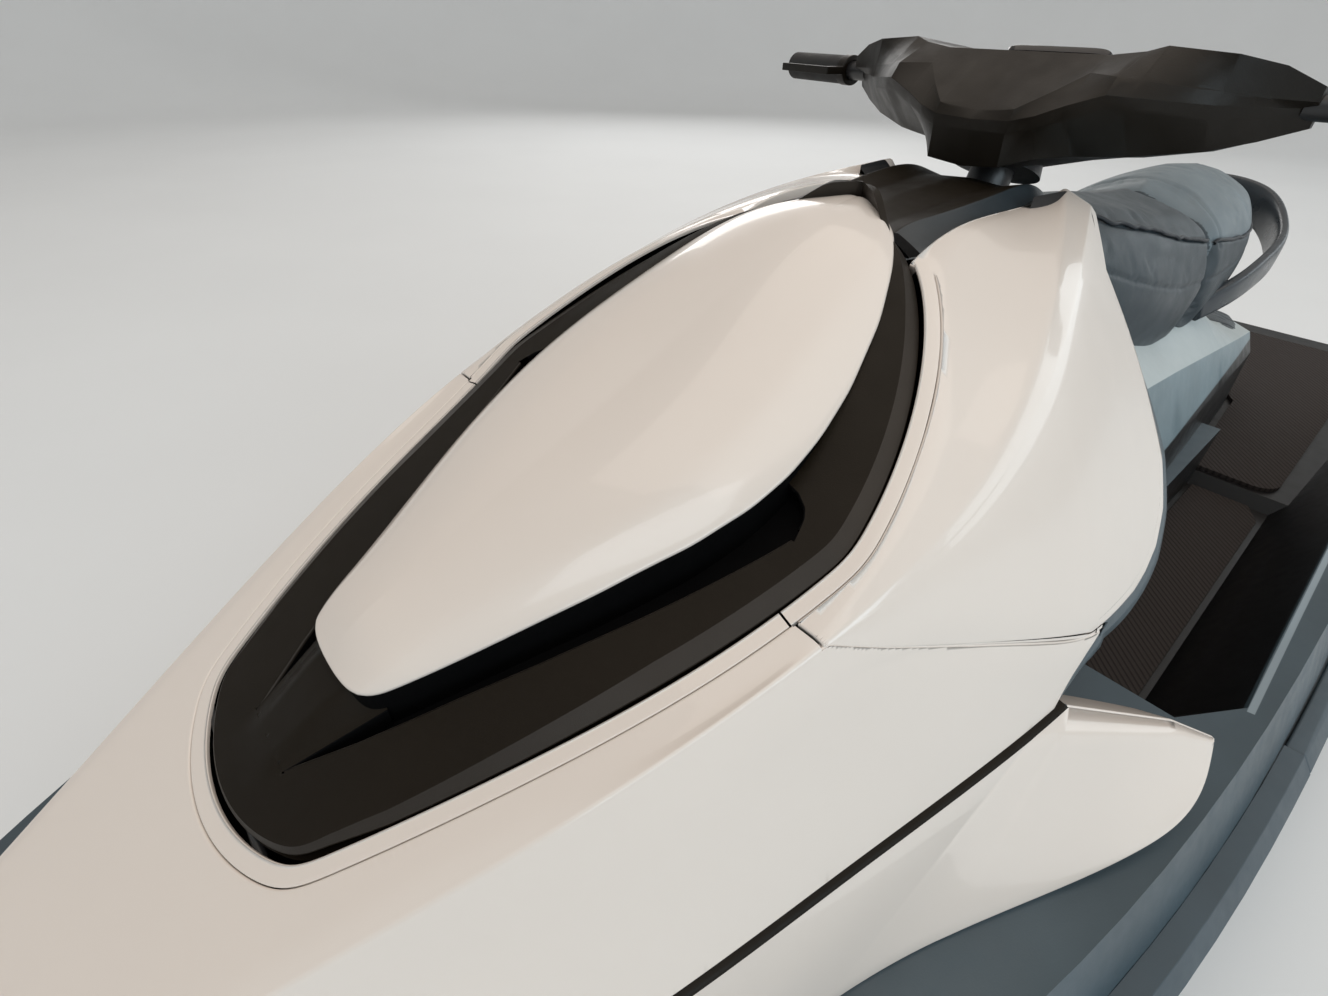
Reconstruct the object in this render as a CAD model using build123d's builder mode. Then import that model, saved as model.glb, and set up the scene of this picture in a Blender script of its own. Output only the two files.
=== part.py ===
from build123d import *
import math
import os

os.makedirs("parts", exist_ok=True)

# Personal watercraft, afloat.  +X is forward, +Y is port, +Z is up, and the
# origin lies amidships at the waterline.  All lengths are millimetres.

# Overall lengths along X
BOW_X = 1440
TRANSOM_X = -1250
STERN_X = -1440
DECK_Z = 250
BODY_SIDE = 700

# Hull and deck sections from the bow aft.  Columns: station x, keel z,
# chine y, chine z, sheer y, sheer z, gunwale ridge y, ridge z, inner edge y.
BODY_SECTIONS = [
    (1440, 172, 12, 205, 26, 240, 22, 256, 14),
    (1270, -30, 118, 100, 205, 226, 178, 260, 150),
    (1000, -178, 250, 22, 372, 204, 335, 262, 308),
    (550, -236, 385, -36, 500, 176, 462, 258, 432),
    (50, -245, 440, -56, 548, 153, 508, 256, 480),
    (-700, -243, 450, -58, 556, 145, 520, 254, 490),
    (-1440, -232, 440, -48, 515, 140, 482, 252, 454),
]

# Rubbing bumper round the bond line
BUMPER_OUT = 28
BUMPER_UP = 20
BUMPER_DOWN = 44
BUMPER_NOSE_X = 1462
BUMPER_JOINT_X = 80
STERN_BUMPER_DEEP = 22
STERN_BUMPER_TALL = 60
STERN_BUMPER_HALF = 466

# Upper mouldings: hood, cowls and side panels.  Columns: station x, crown z,
# bevel y, bevel z, crease y, crease z, seam y, seam z, trim y, trim z.
REAR_SECTIONS = [
    (250, 746, 150, 757, 184, 735, 345, 455, 352, 428),
    (450, 718, 128, 722, 226, 668, 340, 464, 350, 404),
    (560, 655, 194, 660, 250, 620, 306, 503, 335, 388),
    (721, 566, 236, 566, 243, 564, 256, 536, 305, 370),
]
FRONT_SECTIONS = [
    (721, 566, 236, 566, 243, 564, 256, 536, 305, 370),
    (900, 498, 186, 498, 200, 496, 222, 450, 268, 345),
    (1100, 413, 118, 413, 130, 411, 155, 370, 205, 315),
    (1270, 338, 64, 338, 74, 334, 95, 312, 128, 280),
    (1405, 288, 14, 288, 20, 285, 28, 275, 40, 262),
]
PANEL_GAP = 4
PANEL_GAP_DEEP = 5
RIM_OUT = 14
TRIM_DEEP = 7
TRIM_TALL = 9

# White side panel with its wing.  Columns: station x, crease y, crease z,
# foot y, foot z.
PANEL_SECTIONS = [
    (1180, 172, 270, 196, 256),
    (900, 286, 305, 306, 256),
    (690, 334, 305, 358, 256),
    (560, 350, 318, 408, 258),
    (440, 356, 370, 456, 268),
    (310, 384, 382, 458, 318),
]

# Front lid: a black bezel carrying a white leaf-shaped panel
LID_GAP = 5
BEZEL_NOSE_X = 1046
BEZEL_FRONT = (1018, 94)
BEZEL_BOW = (844, 170)
BEZEL_WIDE = (668, 216)
BEZEL_HIP = (566, 182)
BEZEL_REAR = (455, 90)
BEZEL_TAIL_X = 398
BEZEL_THICK = 18
SLOT_DEEP = 13
# Side line of the hood's top, from the lid's nose aft: x, z
LID_LINE = [(1120, 404), (1046, 438), (850, 517), (721, 566), (620, 616), (520, 678), (430, 730)]
# Leaf panel.  Columns: station x, edge y, edge z, crease y, crease z, crown z
LEAF_SECTIONS = [
    (954, 30, 498, 20, 501, 503),
    (922, 62, 510, 40, 522, 531),
    (800, 115, 558, 84, 578, 586),
    (661, 153, 612, 112, 640, 648),
    (524, 120, 689, 84, 706, 714),
    (415, 33, 738, 22, 744, 747),
]

LEAF_SKIRT = 40
# Finger slot beside the leaf: its tip, outer side and blunt aft end, then back under the leaf
SLOT_OUTLINE = [(1006, 32), (922, 77), (783, 141), (698, 176), (685, 193), (668, 190), (650, 160), (648, 140),
                (713, 126), (800, 103), (915, 50), (950, 22)]

# Storage tub under the lid
TUB_WALL = 6
TUB_INSET = 24
TUB_FLOOR_Z = 300

# Footwells and stern platform: one floor line, seen from the side, that steps
# up behind the footwells and climbs to the stern
WELL_FRONT_X = 240
STEP_X = -600
STEP_SLOPE = 14
WELL_FLOOR_Z = 125
PLATFORM_FRONT_Z = 152
PLATFORM_REAR_Z = 226
WELL_SKIN = 12
WELL_IN_Y = 264
WELL_OUT_TOP_Y = 480
WELL_OUT_LOW_Y = 404
WELL_CORNER = 50
WELL_OVER = 60
MAT_THICK = 8
MAT_MARGIN = 9
MAT_STERN_GAP = 70

# Pedestal.  Columns: station x, foot y, low y, low z, hip y, hip z, top y, top z
PEDESTAL_BASE_Z = 110
PEDESTAL_SECTIONS = [
    (250, 262, 252, 345, 215, 500, 120, 600),
    (-60, 262, 248, 340, 197, 466, 140, 520),
    (-300, 262, 240, 330, 194, 434, 140, 468),
    (-620, 240, 227, 318, 194, 391, 136, 448),
    (-800, 229, 219, 312, 193, 366, 140, 380),
    (-930, 222, 212, 306, 191, 349, 140, 355),
    (-1050, 140, 130, 300, 112, 338, 90, 344),
]

# Pad on the pedestal behind the seat
PAD_FRONT_X = -800
PAD_REAR_X = -1030
PAD_HALF = 176
PAD_Z = 358
PAD_SLOPE = 3
PAD_THICK = 12

# Seat.  Columns: station x, base y, base z, belly y, belly z, shoulder y, shoulder z, crown z
SEAT_FRONT_SECTIONS = [
    (40, 60, 520, 76, 640, 50, 690, 706),
    (-120, 122, 450, 136, 600, 104, 672, 692),
    (-300, 142, 440, 160, 560, 128, 642, 674),
    (-420, 142, 438, 165, 548, 134, 632, 674),
]
SEAT_REAR_SECTIONS = [
    (-424, 142, 438, 165, 548, 134, 634, 680),
    (-640, 134, 446, 152, 560, 122, 644, 694),
    (-860, 80, 540, 97, 588, 80, 634, 666),
]

# Grab handle: a flat strap that rises from the pedestal and passes behind the seat
GRAB_PATH = [(-478, 140, 440), (-580, 165, 492), (-830, 168, 545), (-968, 96, 588)]
GRAB_BEND = 60
GRAB_WIDE = 42
GRAB_THICK = 20

# Steering
STEER_X = 150
STEER_Z = 735
STEER_LEAN = 22
COLUMN_R = 24
COLUMN_SINK = 45
COLUMN_RISE = 40
RUN_GAP = 0.05
BAR_R = 11
BAR_ROOT = (79, 236, 825)
BAR_TIP = (40, 395, 824)
GRIP_R = 17
GRIP_LONG = 112
CLAMP_R = 18
CLAMP_LONG = 16
LEVER_REACH = 44
LEVER_THICK = 9
# Steering pod, from the middle out: a recessed face between two upswept lobes.
# Columns: station y, then x, z of the brow, face fold, lip, chin, front foot, rear foot and back edge
POD_SECTIONS = [
    (0, (155, 858), (222, 808), (230, 800), (233, 790), (226, 756), (110, 748), (24, 852)),
    (40, (155, 858), (227, 812), (232, 802), (231, 791), (227, 760), (110, 750), (24, 852)),
    (62, (155, 858), (208, 827), (228, 808), (222, 797), (196, 768), (104, 756), (24, 852)),
    (84, (155, 858), (186, 844), (222, 818), (214, 806), (158, 770), (98, 762), (25, 852)),
    (114, (152, 862), (203, 843), (214, 829), (206, 818), (150, 773), (92, 768), (28, 854)),
    (130, (150, 867), (190, 841), (203, 828), (196, 817), (146, 775), (90, 770), (30, 857)),
    (185, (140, 863), (142, 835), (144, 824), (139, 813), (114, 784), (80, 782), (42, 853)),
    (218, (118, 856), (116, 831), (110, 824), (106, 815), (94, 795), (70, 795), (54, 848)),
    (248, (97, 842), (96, 830), (78, 824), (77, 817), (74, 808), (64, 808), (62, 838)),
]
# Display on the rider's side of the pod
DISPLAY_WIDE = 120
DISPLAY_TALL = 64
DISPLAY_THICK = 10
DISPLAY_X = 56
DISPLAY_Z = 842
DISPLAY_TILT = 38
# Boot round the steering column
BOOT_R = 52
BOOT_TOP_R = 40
BOOT_TALL = 12

# Jet pump, all about an axis along X
PUMP_Z = -95
PUMP_R = 84
PUMP_BORE_R = 73
PUMP_FRONT_X = -1110
CONE_X = -1205
FLANGE_R = 92
FLANGE_THICK = 12
VENTURI_X = -1318
VENTURI_R = 50
VENTURI_WALL = 6
IMPELLER_R = 67.5
IMPELLER_X = -1160
IMPELLER_LONG = 60
BLADES = 3
BLADE_THICK = 5
BLADE_LONG = 50
BLADE_PITCH = 150
BLADE_STATIONS = 5
HUB_R = 26
STATOR_VANES = 7
STATOR_THICK = 4
STATOR_LONG = 34
STATOR_GAP = 6
VANE_R = 66
CONE_TAIL_X = -1300
CONE_TAIL_R = 10
SHAFT_R = 12
INTAKE_FRONT_X = -720
INTAKE_REAR_X = -1085
INTAKE_HALF = 75
GRATE_Y = [18, 50]
GRATE_WIDE = 10
GRATE_TALL = 14
GRATE_RISE = 8
STRAKE_SHARE = 0.55
STRAKE_WIDE = 0.09
STRAKE_DROP = 16
NOZZLE_PIVOT_X = -1310
NOZZLE_LEAD = 10
NOZZLE_LONG = 125
NOZZLE_FRONT_R = 66
NOZZLE_REAR_R = 40
NOZZLE_WALL = 6
PIN_R = 6
EAR_GAP = 5
EAR_THICK = 10
EAR_HALF = 14
BUCKET_HINGE_X = -1300
BUCKET_IN_R = 142
BUCKET_WALL = 8
BUCKET_HALF = 110
BUCKET_LOW_ANGLE = 32
BUCKET_HIGH_ANGLE = 92
HINGE_EAR_Y = 88

# Heavy masses
BATTERY_SIZE = (900, 360, 190)
BATTERY_X = 150
BATTERY_FLOOR_Z = -120
MOTOR_SIZE = (260, 170, 170)
MOTOR_X = -670

# Line of the seam between hood and cowls, seen from the side: x, z
SEAM_LINE = [(724, 566), (600, 520), (450, 464), (240, 455)]
NECK_FRONT = (470, 98)
NECK_REAR = (250, 150)
NECK_REAR_X = 90
NECK_REAR_TOP = 712
NECK_REAR_HALF = 92
NECK_BASE_Z = 500
NECK_SHOULDER = 30
# Lid hinge pin across the lid's nose
HINGE_X = 1034
HINGE_Z = 436
HINGE_PIN_R = 3.5
HINGE_PIN_HALF = 76
HINGE_RELIEF_R = 26

EYE_R = 16
EYE_HOLE_R = 8
EYE_HALF = 5
BOW_EYE = (1454, 180)
TOW_EYE = (-1480, 168)


def common(first, *others):
    """The space that all the given solids share."""
    with BuildPart() as shared:
        add(first)
        for other in others:
            add(other, mode=Mode.INTERSECT)
    return shared.part


def mirrored(half):
    """Close a half outline, given from its lowest centre point upward, about the centre line."""
    other = [(-y, z) for y, z in reversed(half) if y > 0]
    return half + other


def body_half(row):
    x, keel, chine_y, chine_z, sheer_y, sheer_z, ridge_y, ridge_z, inner_y = row
    return [(0, keel), (chine_y, chine_z), (sheer_y, sheer_z), (ridge_y, ridge_z), (inner_y, DECK_Z), (0, DECK_Z)]


with BuildPart() as body_form:
    for row in BODY_SECTIONS:
        with BuildSketch(Plane.YZ.offset(row[0])):
            with BuildLine():
                Polyline(*mirrored(body_half(row)), close=True)
            make_face()
    loft()

# Everything under the bond line, which rises to the bow
sheer_points = [(row[0], row[5]) for row in BODY_SECTIONS]
with BuildPart() as below_sheer:
    with BuildSketch(Plane.XZ):
        with BuildLine():
            Spline(*sheer_points)
            Polyline(sheer_points[-1], (STERN_X - 50, sheer_points[-1][1]), (STERN_X - 50, -400),
                     (BOW_X + 50, -400), (BOW_X + 50, sheer_points[0][1]), sheer_points[0])
        make_face()
    extrude(amount=BODY_SIDE, both=True)


def side_band(points, top, bottom):
    """A band across the whole beam, seen from the side as the given line moved up and down."""
    upper = [(x, z + top) for x, z in points]
    lower = [(x, z + bottom) for x, z in reversed(points)]
    with BuildPart() as band:
        with BuildSketch(Plane.XZ):
            with BuildLine():
                Polyline(*upper, *lower, close=True)
            make_face()
        extrude(amount=BODY_SIDE, both=True)
    return band.part


# Space over the footwells and the stern platform: a prism with leaning sides
# that is cut off along the floor line, and left out where the pedestal's island stands
FLOOR_LINE = [(WELL_FRONT_X + 200, WELL_FLOOR_Z), (STEP_X + STEP_SLOPE, WELL_FLOOR_Z), (STEP_X, PLATFORM_FRONT_Z),
              (STERN_X - 200, PLATFORM_REAR_Z + (PLATFORM_REAR_Z - PLATFORM_FRONT_Z) * 200 / (STEP_X - STERN_X))]


def well_outline(front_x, out_y, skin):
    half = [(front_x + skin, 0), (front_x + skin, out_y - WELL_CORNER + skin),
            (front_x + skin - WELL_CORNER * 1.6, out_y + skin), (STERN_X - WELL_OVER, out_y + skin)]
    return half + [(x, -y) for x, y in reversed(half[1:])]


def well_solid(skin):
    over_floor = side_band(FLOOR_LINE, 400, -skin)
    with BuildPart() as well:
        for level, front_x, out_y in [(WELL_FLOOR_Z, WELL_FRONT_X - 30, WELL_OUT_LOW_Y),
                                      (DECK_Z, WELL_FRONT_X, WELL_OUT_TOP_Y)]:
            lean = (WELL_OUT_TOP_Y - WELL_OUT_LOW_Y) / (DECK_Z - WELL_FLOOR_Z)
            reach = WELL_OVER if level == DECK_Z else -WELL_OVER
            with BuildSketch(Plane.XY.offset(level + reach)):
                with BuildLine():
                    Polyline(*well_outline(front_x, out_y + lean * reach, skin), close=True)
                make_face()
        loft(ruled=True)
        with Locations((STEP_X - skin, 0, 0)):
            Box(WELL_FRONT_X - STEP_X + 200, 2 * (WELL_IN_Y - skin), 2 * BODY_SIDE,
                align=(Align.MIN, Align.CENTER, Align.CENTER), mode=Mode.SUBTRACT)
        add(over_floor, mode=Mode.INTERSECT)
    return well.part


well_space = well_solid(0)
well_liner = common(well_solid(WELL_SKIN), body_form.part)

# Battery and motor: plain blocks of the real size and place
with BuildPart() as battery:
    with Locations((BATTERY_X, 0, BATTERY_FLOOR_Z)):
        Box(*BATTERY_SIZE, align=(Align.CENTER, Align.CENTER, Align.MIN))
battery.part.label = "battery"
export_step(battery.part, "parts/battery.step")

with BuildPart() as motor:
    with Locations((MOTOR_X, 0, PUMP_Z)):
        Box(*MOTOR_SIZE)
motor.part.label = "motor"
export_step(motor.part, "parts/motor.step")

# Lifting strake under each side of the vee bottom
def bottom_point(row, share):
    return share * row[2], row[1] + share * (row[3] - row[1])


with BuildPart() as strakes:
    for row in BODY_SECTIONS[2:]:
        inner = bottom_point(row, STRAKE_SHARE - STRAKE_WIDE)
        outer = bottom_point(row, STRAKE_SHARE)
        with BuildSketch(Plane.YZ.offset(row[0])):
            with BuildLine():
                Polyline(inner, (outer[0], outer[1] - STRAKE_DROP), (outer[0], outer[1] + STRAKE_DROP),
                         (inner[0], inner[1] + STRAKE_DROP), close=True)
            make_face()
    loft()
    mirror(about=Plane.XZ)

# Hull: the vee bottom below the bond line, with the pump tunnel and intake
with BuildPart() as hull:
    add(body_form.part)
    add(strakes.part)
    add(below_sheer.part, mode=Mode.INTERSECT)
    with BuildSketch(Plane.YZ.offset(TRANSOM_X)):
        Rectangle(2 * BODY_SIDE, 2 * BODY_SIDE)
    extrude(amount=STERN_X - TRANSOM_X - 20, mode=Mode.SUBTRACT)
    add(well_liner, mode=Mode.SUBTRACT)
    add(battery.part, mode=Mode.SUBTRACT)
    add(motor.part, mode=Mode.SUBTRACT)
    with BuildSketch(Plane.YZ.offset(TRANSOM_X - 5)):
        with Locations((0, PUMP_Z)):
            Circle(PUMP_R)
    extrude(amount=PUMP_FRONT_X - TRANSOM_X + 5, mode=Mode.SUBTRACT)
    with BuildSketch(Plane.XZ):
        with BuildLine():
            Polyline((PUMP_FRONT_X - 2, PUMP_Z + INTAKE_HALF), (INTAKE_FRONT_X, -260), (INTAKE_REAR_X, -260),
                     (PUMP_FRONT_X - 2, PUMP_Z - INTAKE_HALF), close=True)
        make_face()
    extrude(amount=INTAKE_HALF, both=True, mode=Mode.SUBTRACT)
    with BuildSketch(Plane.YZ.offset(PUMP_FRONT_X - 10)):
        with Locations((0, PUMP_Z)):
            Circle(SHAFT_R + RUN_GAP)
    extrude(amount=MOTOR_X - MOTOR_SIZE[0] / 2 - PUMP_FRONT_X + 12, mode=Mode.SUBTRACT)
hull.part.label = "hull"
export_step(hull.part, "parts/hull.step")

# Intake grate: bars along the mouth of the intake, let into the hull at both ends
with BuildPart() as intake_grate:
    for bar_y in GRATE_Y:
        for side in (1, -1):
            with Locations(((INTAKE_FRONT_X + INTAKE_REAR_X) / 2, side * bar_y, BODY_SECTIONS[-2][1] + GRATE_RISE)):
                Box(INTAKE_FRONT_X - INTAKE_REAR_X, GRATE_WIDE, GRATE_TALL,
                    align=(Align.CENTER, Align.CENTER, Align.MIN))
    add(hull.part, mode=Mode.SUBTRACT)
intake_grate.part.label = "intake_grate"
export_step(intake_grate.part, "parts/intake_grate.step")

# Deck: everything above the bond line, with both footwells and the stern platform
with BuildPart() as deck:
    add(body_form.part)
    add(below_sheer.part, mode=Mode.SUBTRACT)
    add(well_liner)
    add(well_space, mode=Mode.SUBTRACT)
deck.part.label = "deck"
export_step(deck.part, "parts/deck.step")

# Upper form: hood, cowls and neck before they are cut apart
def upper_half(row, inset):
    x, crown, bevel_y, bevel_z, crease_y, crease_z, seam_y, seam_z, trim_y, trim_z = row
    foot_y = trim_y - TRIM_DEEP
    return [(0, DECK_Z), (foot_y - inset, DECK_Z), (foot_y - inset, trim_z), (trim_y - inset, trim_z),
            (seam_y - inset, seam_z), (crease_y - inset, crease_z - inset), (bevel_y - inset, bevel_z - inset),
            (0, crown - inset)]


def upper_solid(inset):
    with BuildPart() as form:
        for rows in (REAR_SECTIONS, FRONT_SECTIONS):
            for row in rows:
                with BuildSketch(Plane.YZ.offset(row[0])):
                    with BuildLine():
                        Polyline(*mirrored(upper_half(row, inset)), close=True)
                    make_face()
            loft()
    return form.part


upper_form = upper_solid(0)


def lid_prism(grow):
    """The lid's plan outline as a tall prism, grown outward by the given gap."""
    with BuildPart() as prism:
        with BuildSketch(Plane.XY.offset(DECK_Z)):
            with BuildLine():
                ThreePointArc(BEZEL_FRONT, BEZEL_BOW, BEZEL_WIDE)
                ThreePointArc(BEZEL_WIDE, BEZEL_HIP, BEZEL_REAR)
                Line(BEZEL_REAR, (BEZEL_TAIL_X, 0))
                mirror(about=Plane.XZ)
                ThreePointArc((BEZEL_FRONT[0], -BEZEL_FRONT[1]), (BEZEL_NOSE_X, 0), BEZEL_FRONT)
            make_face()
            if grow:
                offset(amount=grow, kind=Kind.INTERSECTION)
        extrude(amount=700)
    return prism.part


lid_outline = lid_prism(0)
lid_pocket = lid_prism(LID_GAP)
tub_outline = lid_prism(-TUB_INSET)
ledge_drop = BEZEL_THICK + LID_GAP
above_ledge = side_band(LID_LINE, 400, -ledge_drop)
under_ledge = side_band(LID_LINE, -ledge_drop, -700)
tub_hollow = lid_prism(-TUB_INSET - TUB_WALL)


def above(floor_z):
    """Everything over the hood's length above a level."""
    with BuildPart() as block:
        with Locations((800, 0, floor_z)):
            Box(1200, 800, 800, align=(Align.CENTER, Align.CENTER, Align.MIN))
    return block.part


tub_hole = common(tub_outline, under_ledge, above(TUB_FLOOR_Z))
tub_space = common(tub_hollow, above(TUB_FLOOR_Z + TUB_WALL))

with BuildPart() as cowl_region:
    with BuildSketch(Plane.XZ):
        with BuildLine():
            Polyline(*SEAM_LINE, (SEAM_LINE[-1][0], 900), (SEAM_LINE[0][0], 900), close=True)
        make_face()
    extrude(amount=BODY_SIDE, both=True)

# Grooves in the outer surface: the rim round the lid and the joint between hood and cowls
with BuildPart() as grooves:
    add(lid_prism(RIM_OUT))
    add(lid_prism(RIM_OUT - PANEL_GAP), mode=Mode.SUBTRACT)
    add(side_band(SEAM_LINE, PANEL_GAP, 0))
    add(upper_form, mode=Mode.INTERSECT)
    add(upper_solid(PANEL_GAP_DEEP), mode=Mode.SUBTRACT)
lid_core = common(upper_form, lid_pocket, under_ledge)
lid_opening = common(lid_pocket, above_ledge)
cowl_block = common(upper_form, cowl_region.part)

hinge_pin_place = Plane(origin=(HINGE_X, 0, HINGE_Z), x_dir=(1, 0, 0), z_dir=(0, 1, 0))
with BuildPart() as hinge_pin:
    with BuildSketch(hinge_pin_place):
        Circle(HINGE_PIN_R)
    extrude(amount=HINGE_PIN_HALF, both=True)
hinge_pin.part.label = "lid_hinge_pin"
export_step(hinge_pin.part, "parts/lid_hinge_pin.step")

# Hood: the long front moulding, with the lid's pocket and the tub's hole
with BuildPart() as hood:
    add(upper_form)
    add(cowl_region.part, mode=Mode.SUBTRACT)
    add(lid_core)
    add(lid_opening, mode=Mode.SUBTRACT)
    add(tub_hole, mode=Mode.SUBTRACT)
    add(grooves.part, mode=Mode.SUBTRACT)
    with BuildSketch(hinge_pin_place):
        Circle(HINGE_RELIEF_R)
    extrude(amount=HINGE_PIN_HALF - 8, both=True, mode=Mode.SUBTRACT)
    add(hinge_pin.part, mode=Mode.SUBTRACT)
hood.part.label = "hood"
export_step(hood.part, "parts/hood.step")

with BuildPart() as storage_tub:
    add(tub_hole)
    add(tub_space, mode=Mode.SUBTRACT)
storage_tub.part.label = "storage_tub"
export_step(storage_tub.part, "parts/storage_tub.step")

# Neck between the cowls, and the console that carries the steering column
with BuildPart() as neck_prism:
    with BuildSketch(Plane.XY.offset(DECK_Z)):
        with BuildLine():
            Polyline((NECK_FRONT[0], -NECK_FRONT[1]), NECK_FRONT, NECK_REAR, (NECK_REAR[0], -NECK_REAR[1]), close=True)
        make_face()
    extrude(amount=700)

steer_axis = (-math.sin(math.radians(STEER_LEAN)), 0, math.cos(math.radians(STEER_LEAN)))
steer_plane = Plane(origin=(STEER_X, 0, STEER_Z), x_dir=(steer_axis[2], 0, -steer_axis[0]), z_dir=steer_axis)
neck_block = common(cowl_block, neck_prism.part)
with BuildPart() as neck_cover:
    add(neck_block)
    add(lid_pocket, mode=Mode.SUBTRACT)
    for x, half, top in [(NECK_REAR[0], NECK_REAR[1] - NECK_SHOULDER / 2, REAR_SECTIONS[0][1]),
                         (NECK_REAR_X, NECK_REAR_HALF, NECK_REAR_TOP)]:
        with BuildSketch(Plane.YZ.offset(x)):
            with BuildLine():
                Polyline((-half, NECK_BASE_Z), (half, NECK_BASE_Z), (half, top - NECK_SHOULDER),
                         (half - NECK_SHOULDER, top), (NECK_SHOULDER - half, top), (-half, top - NECK_SHOULDER),
                         close=True)
            make_face()
    loft()
    with BuildSketch(steer_plane):
        Circle(COLUMN_R + RUN_GAP)
    extrude(amount=-COLUMN_SINK - 20, mode=Mode.SUBTRACT)
neck_cover.part.label = "neck_cover"

for side, name in ((1, "port"), (-1, "starboard")):
    with BuildPart() as cowl:
        add(cowl_block)
        add(lid_pocket, mode=Mode.SUBTRACT)
        add(neck_prism.part, mode=Mode.SUBTRACT)
        add(grooves.part, mode=Mode.SUBTRACT)
        with Locations((0, side * BODY_SIDE / 2, 0)):
            Box(4000, BODY_SIDE, 2000, mode=Mode.INTERSECT)
    cowl.part.label = f"cowl_{name}"
    export_step(cowl.part, f"parts/cowl_{name}.step")

# Rubbing bumper: a band outside the body that follows the bond line
def bumper_half(sheer_y, sheer_z):
    return [(0, sheer_z - BUMPER_DOWN), (sheer_y + BUMPER_OUT * 0.6, sheer_z - BUMPER_DOWN),
            (sheer_y + BUMPER_OUT, sheer_z - BUMPER_DOWN * 0.45), (sheer_y + BUMPER_OUT, sheer_z),
            (sheer_y + BUMPER_OUT * 0.45, sheer_z + BUMPER_UP), (0, sheer_z + BUMPER_UP)]


bumper_rows = [(row[0], row[4], row[5]) for row in BODY_SECTIONS]
bumper_rows[0] = (BUMPER_NOSE_X, bumper_rows[0][1] - BUMPER_OUT * 0.8, bumper_rows[0][2])
with BuildPart() as bumper_form:
    for x, sheer_y, sheer_z in bumper_rows:
        with BuildSketch(Plane.YZ.offset(x)):
            with BuildLine():
                Polyline(*mirrored(bumper_half(sheer_y, sheer_z)), close=True)
            make_face()
    loft()
    add(body_form.part, mode=Mode.SUBTRACT)
    add(upper_form, mode=Mode.SUBTRACT)

bumper_cuts = {
    "bumper_bow": (BUMPER_JOINT_X, BUMPER_NOSE_X, -BODY_SIDE, BODY_SIDE),
    "bumper_port": (STERN_X, BUMPER_JOINT_X, 0, BODY_SIDE),
    "bumper_starboard": (STERN_X, BUMPER_JOINT_X, -BODY_SIDE, 0),
}
for name, (low_x, high_x, low_y, high_y) in bumper_cuts.items():
    with BuildPart() as piece:
        add(bumper_form.part)
        with Locations(((low_x + high_x) / 2, (low_y + high_y) / 2, 0)):
            Box(high_x - low_x, high_y - low_y, 1200, mode=Mode.INTERSECT)
    piece.part.label = name
    export_step(piece.part, f"parts/{name}.step")

with BuildPart() as bumper_stern:
    with BuildSketch(Plane.YZ.offset(STERN_X)):
        with Locations((0, TOW_EYE[1])):
            RectangleRounded(2 * STERN_BUMPER_HALF, STERN_BUMPER_TALL, STERN_BUMPER_TALL / 3)
    extrude(amount=-STERN_BUMPER_DEEP)
    chamfer(bumper_stern.faces().sort_by(Axis.X)[0].edges(), STERN_BUMPER_DEEP / 3)
    with Locations((STERN_X, 0, TOW_EYE[1])):
        Box(4 * STERN_BUMPER_DEEP, 2 * EYE_HALF, 2 * EYE_R, mode=Mode.SUBTRACT)
bumper_stern.part.label = "bumper_stern"
export_step(bumper_stern.part, "parts/bumper_stern.step")

# Black trim strip and white side panel under the trim line on each side
trim_rows = [(row[0], row[8], row[9]) for row in REAR_SECTIONS[:-1] + FRONT_SECTIONS]
with BuildPart() as trim_form:
    for x, trim_y, trim_z in trim_rows:
        with BuildSketch(Plane.YZ.offset(x)):
            with BuildLine():
                Polyline((trim_y - TRIM_DEEP - 12, trim_z + 6), (trim_y, trim_z + 6), (trim_y + 1, trim_z - TRIM_TALL),
                         (trim_y - TRIM_DEEP - 12, trim_z - TRIM_TALL), close=True)
            make_face()
    loft(ruled=True)
    add(upper_form, mode=Mode.SUBTRACT)
    add(body_form.part, mode=Mode.SUBTRACT)
    add(bumper_form.part, mode=Mode.SUBTRACT)


def trim_at(x):
    """Trim line's y and z at a station, read along the straight runs between the sections."""
    rows = sorted(trim_rows)
    for (x0, y0, z0), (x1, y1, z1) in zip(rows, rows[1:]):
        if x0 <= x <= x1:
            share = (x - x0) / (x1 - x0)
            return y0 + share * (y1 - y0), z0 + share * (z1 - z0)


with BuildPart() as panel_form:
    for x, crease_y, crease_z, foot_y, foot_z in PANEL_SECTIONS:
        trim_y, trim_z = trim_at(x)
        with BuildSketch(Plane.YZ.offset(x)):
            with BuildLine():
                Polyline((trim_y - 40, trim_z - TRIM_TALL), (trim_y + 1, trim_z - TRIM_TALL), (crease_y, crease_z),
                         (foot_y, foot_z), (foot_y - 10, foot_z - 10), (trim_y - 40, DECK_Z - 10), close=True)
            make_face()
    loft()
    add(upper_form, mode=Mode.SUBTRACT)
    add(trim_form.part, mode=Mode.SUBTRACT)
    add(body_form.part, mode=Mode.SUBTRACT)

for name, form in (("trim", trim_form), ("side_panel", panel_form)):
    for side, side_name in ((0, "port"), (1, "starboard")):
        with BuildPart() as piece:
            add(form.part)
            if side:
                mirror(about=Plane.XZ, mode=Mode.REPLACE)
        piece.part.label = f"{name}_{side_name}"
        export_step(piece.part, f"parts/{name}_{side_name}.step")

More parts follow.
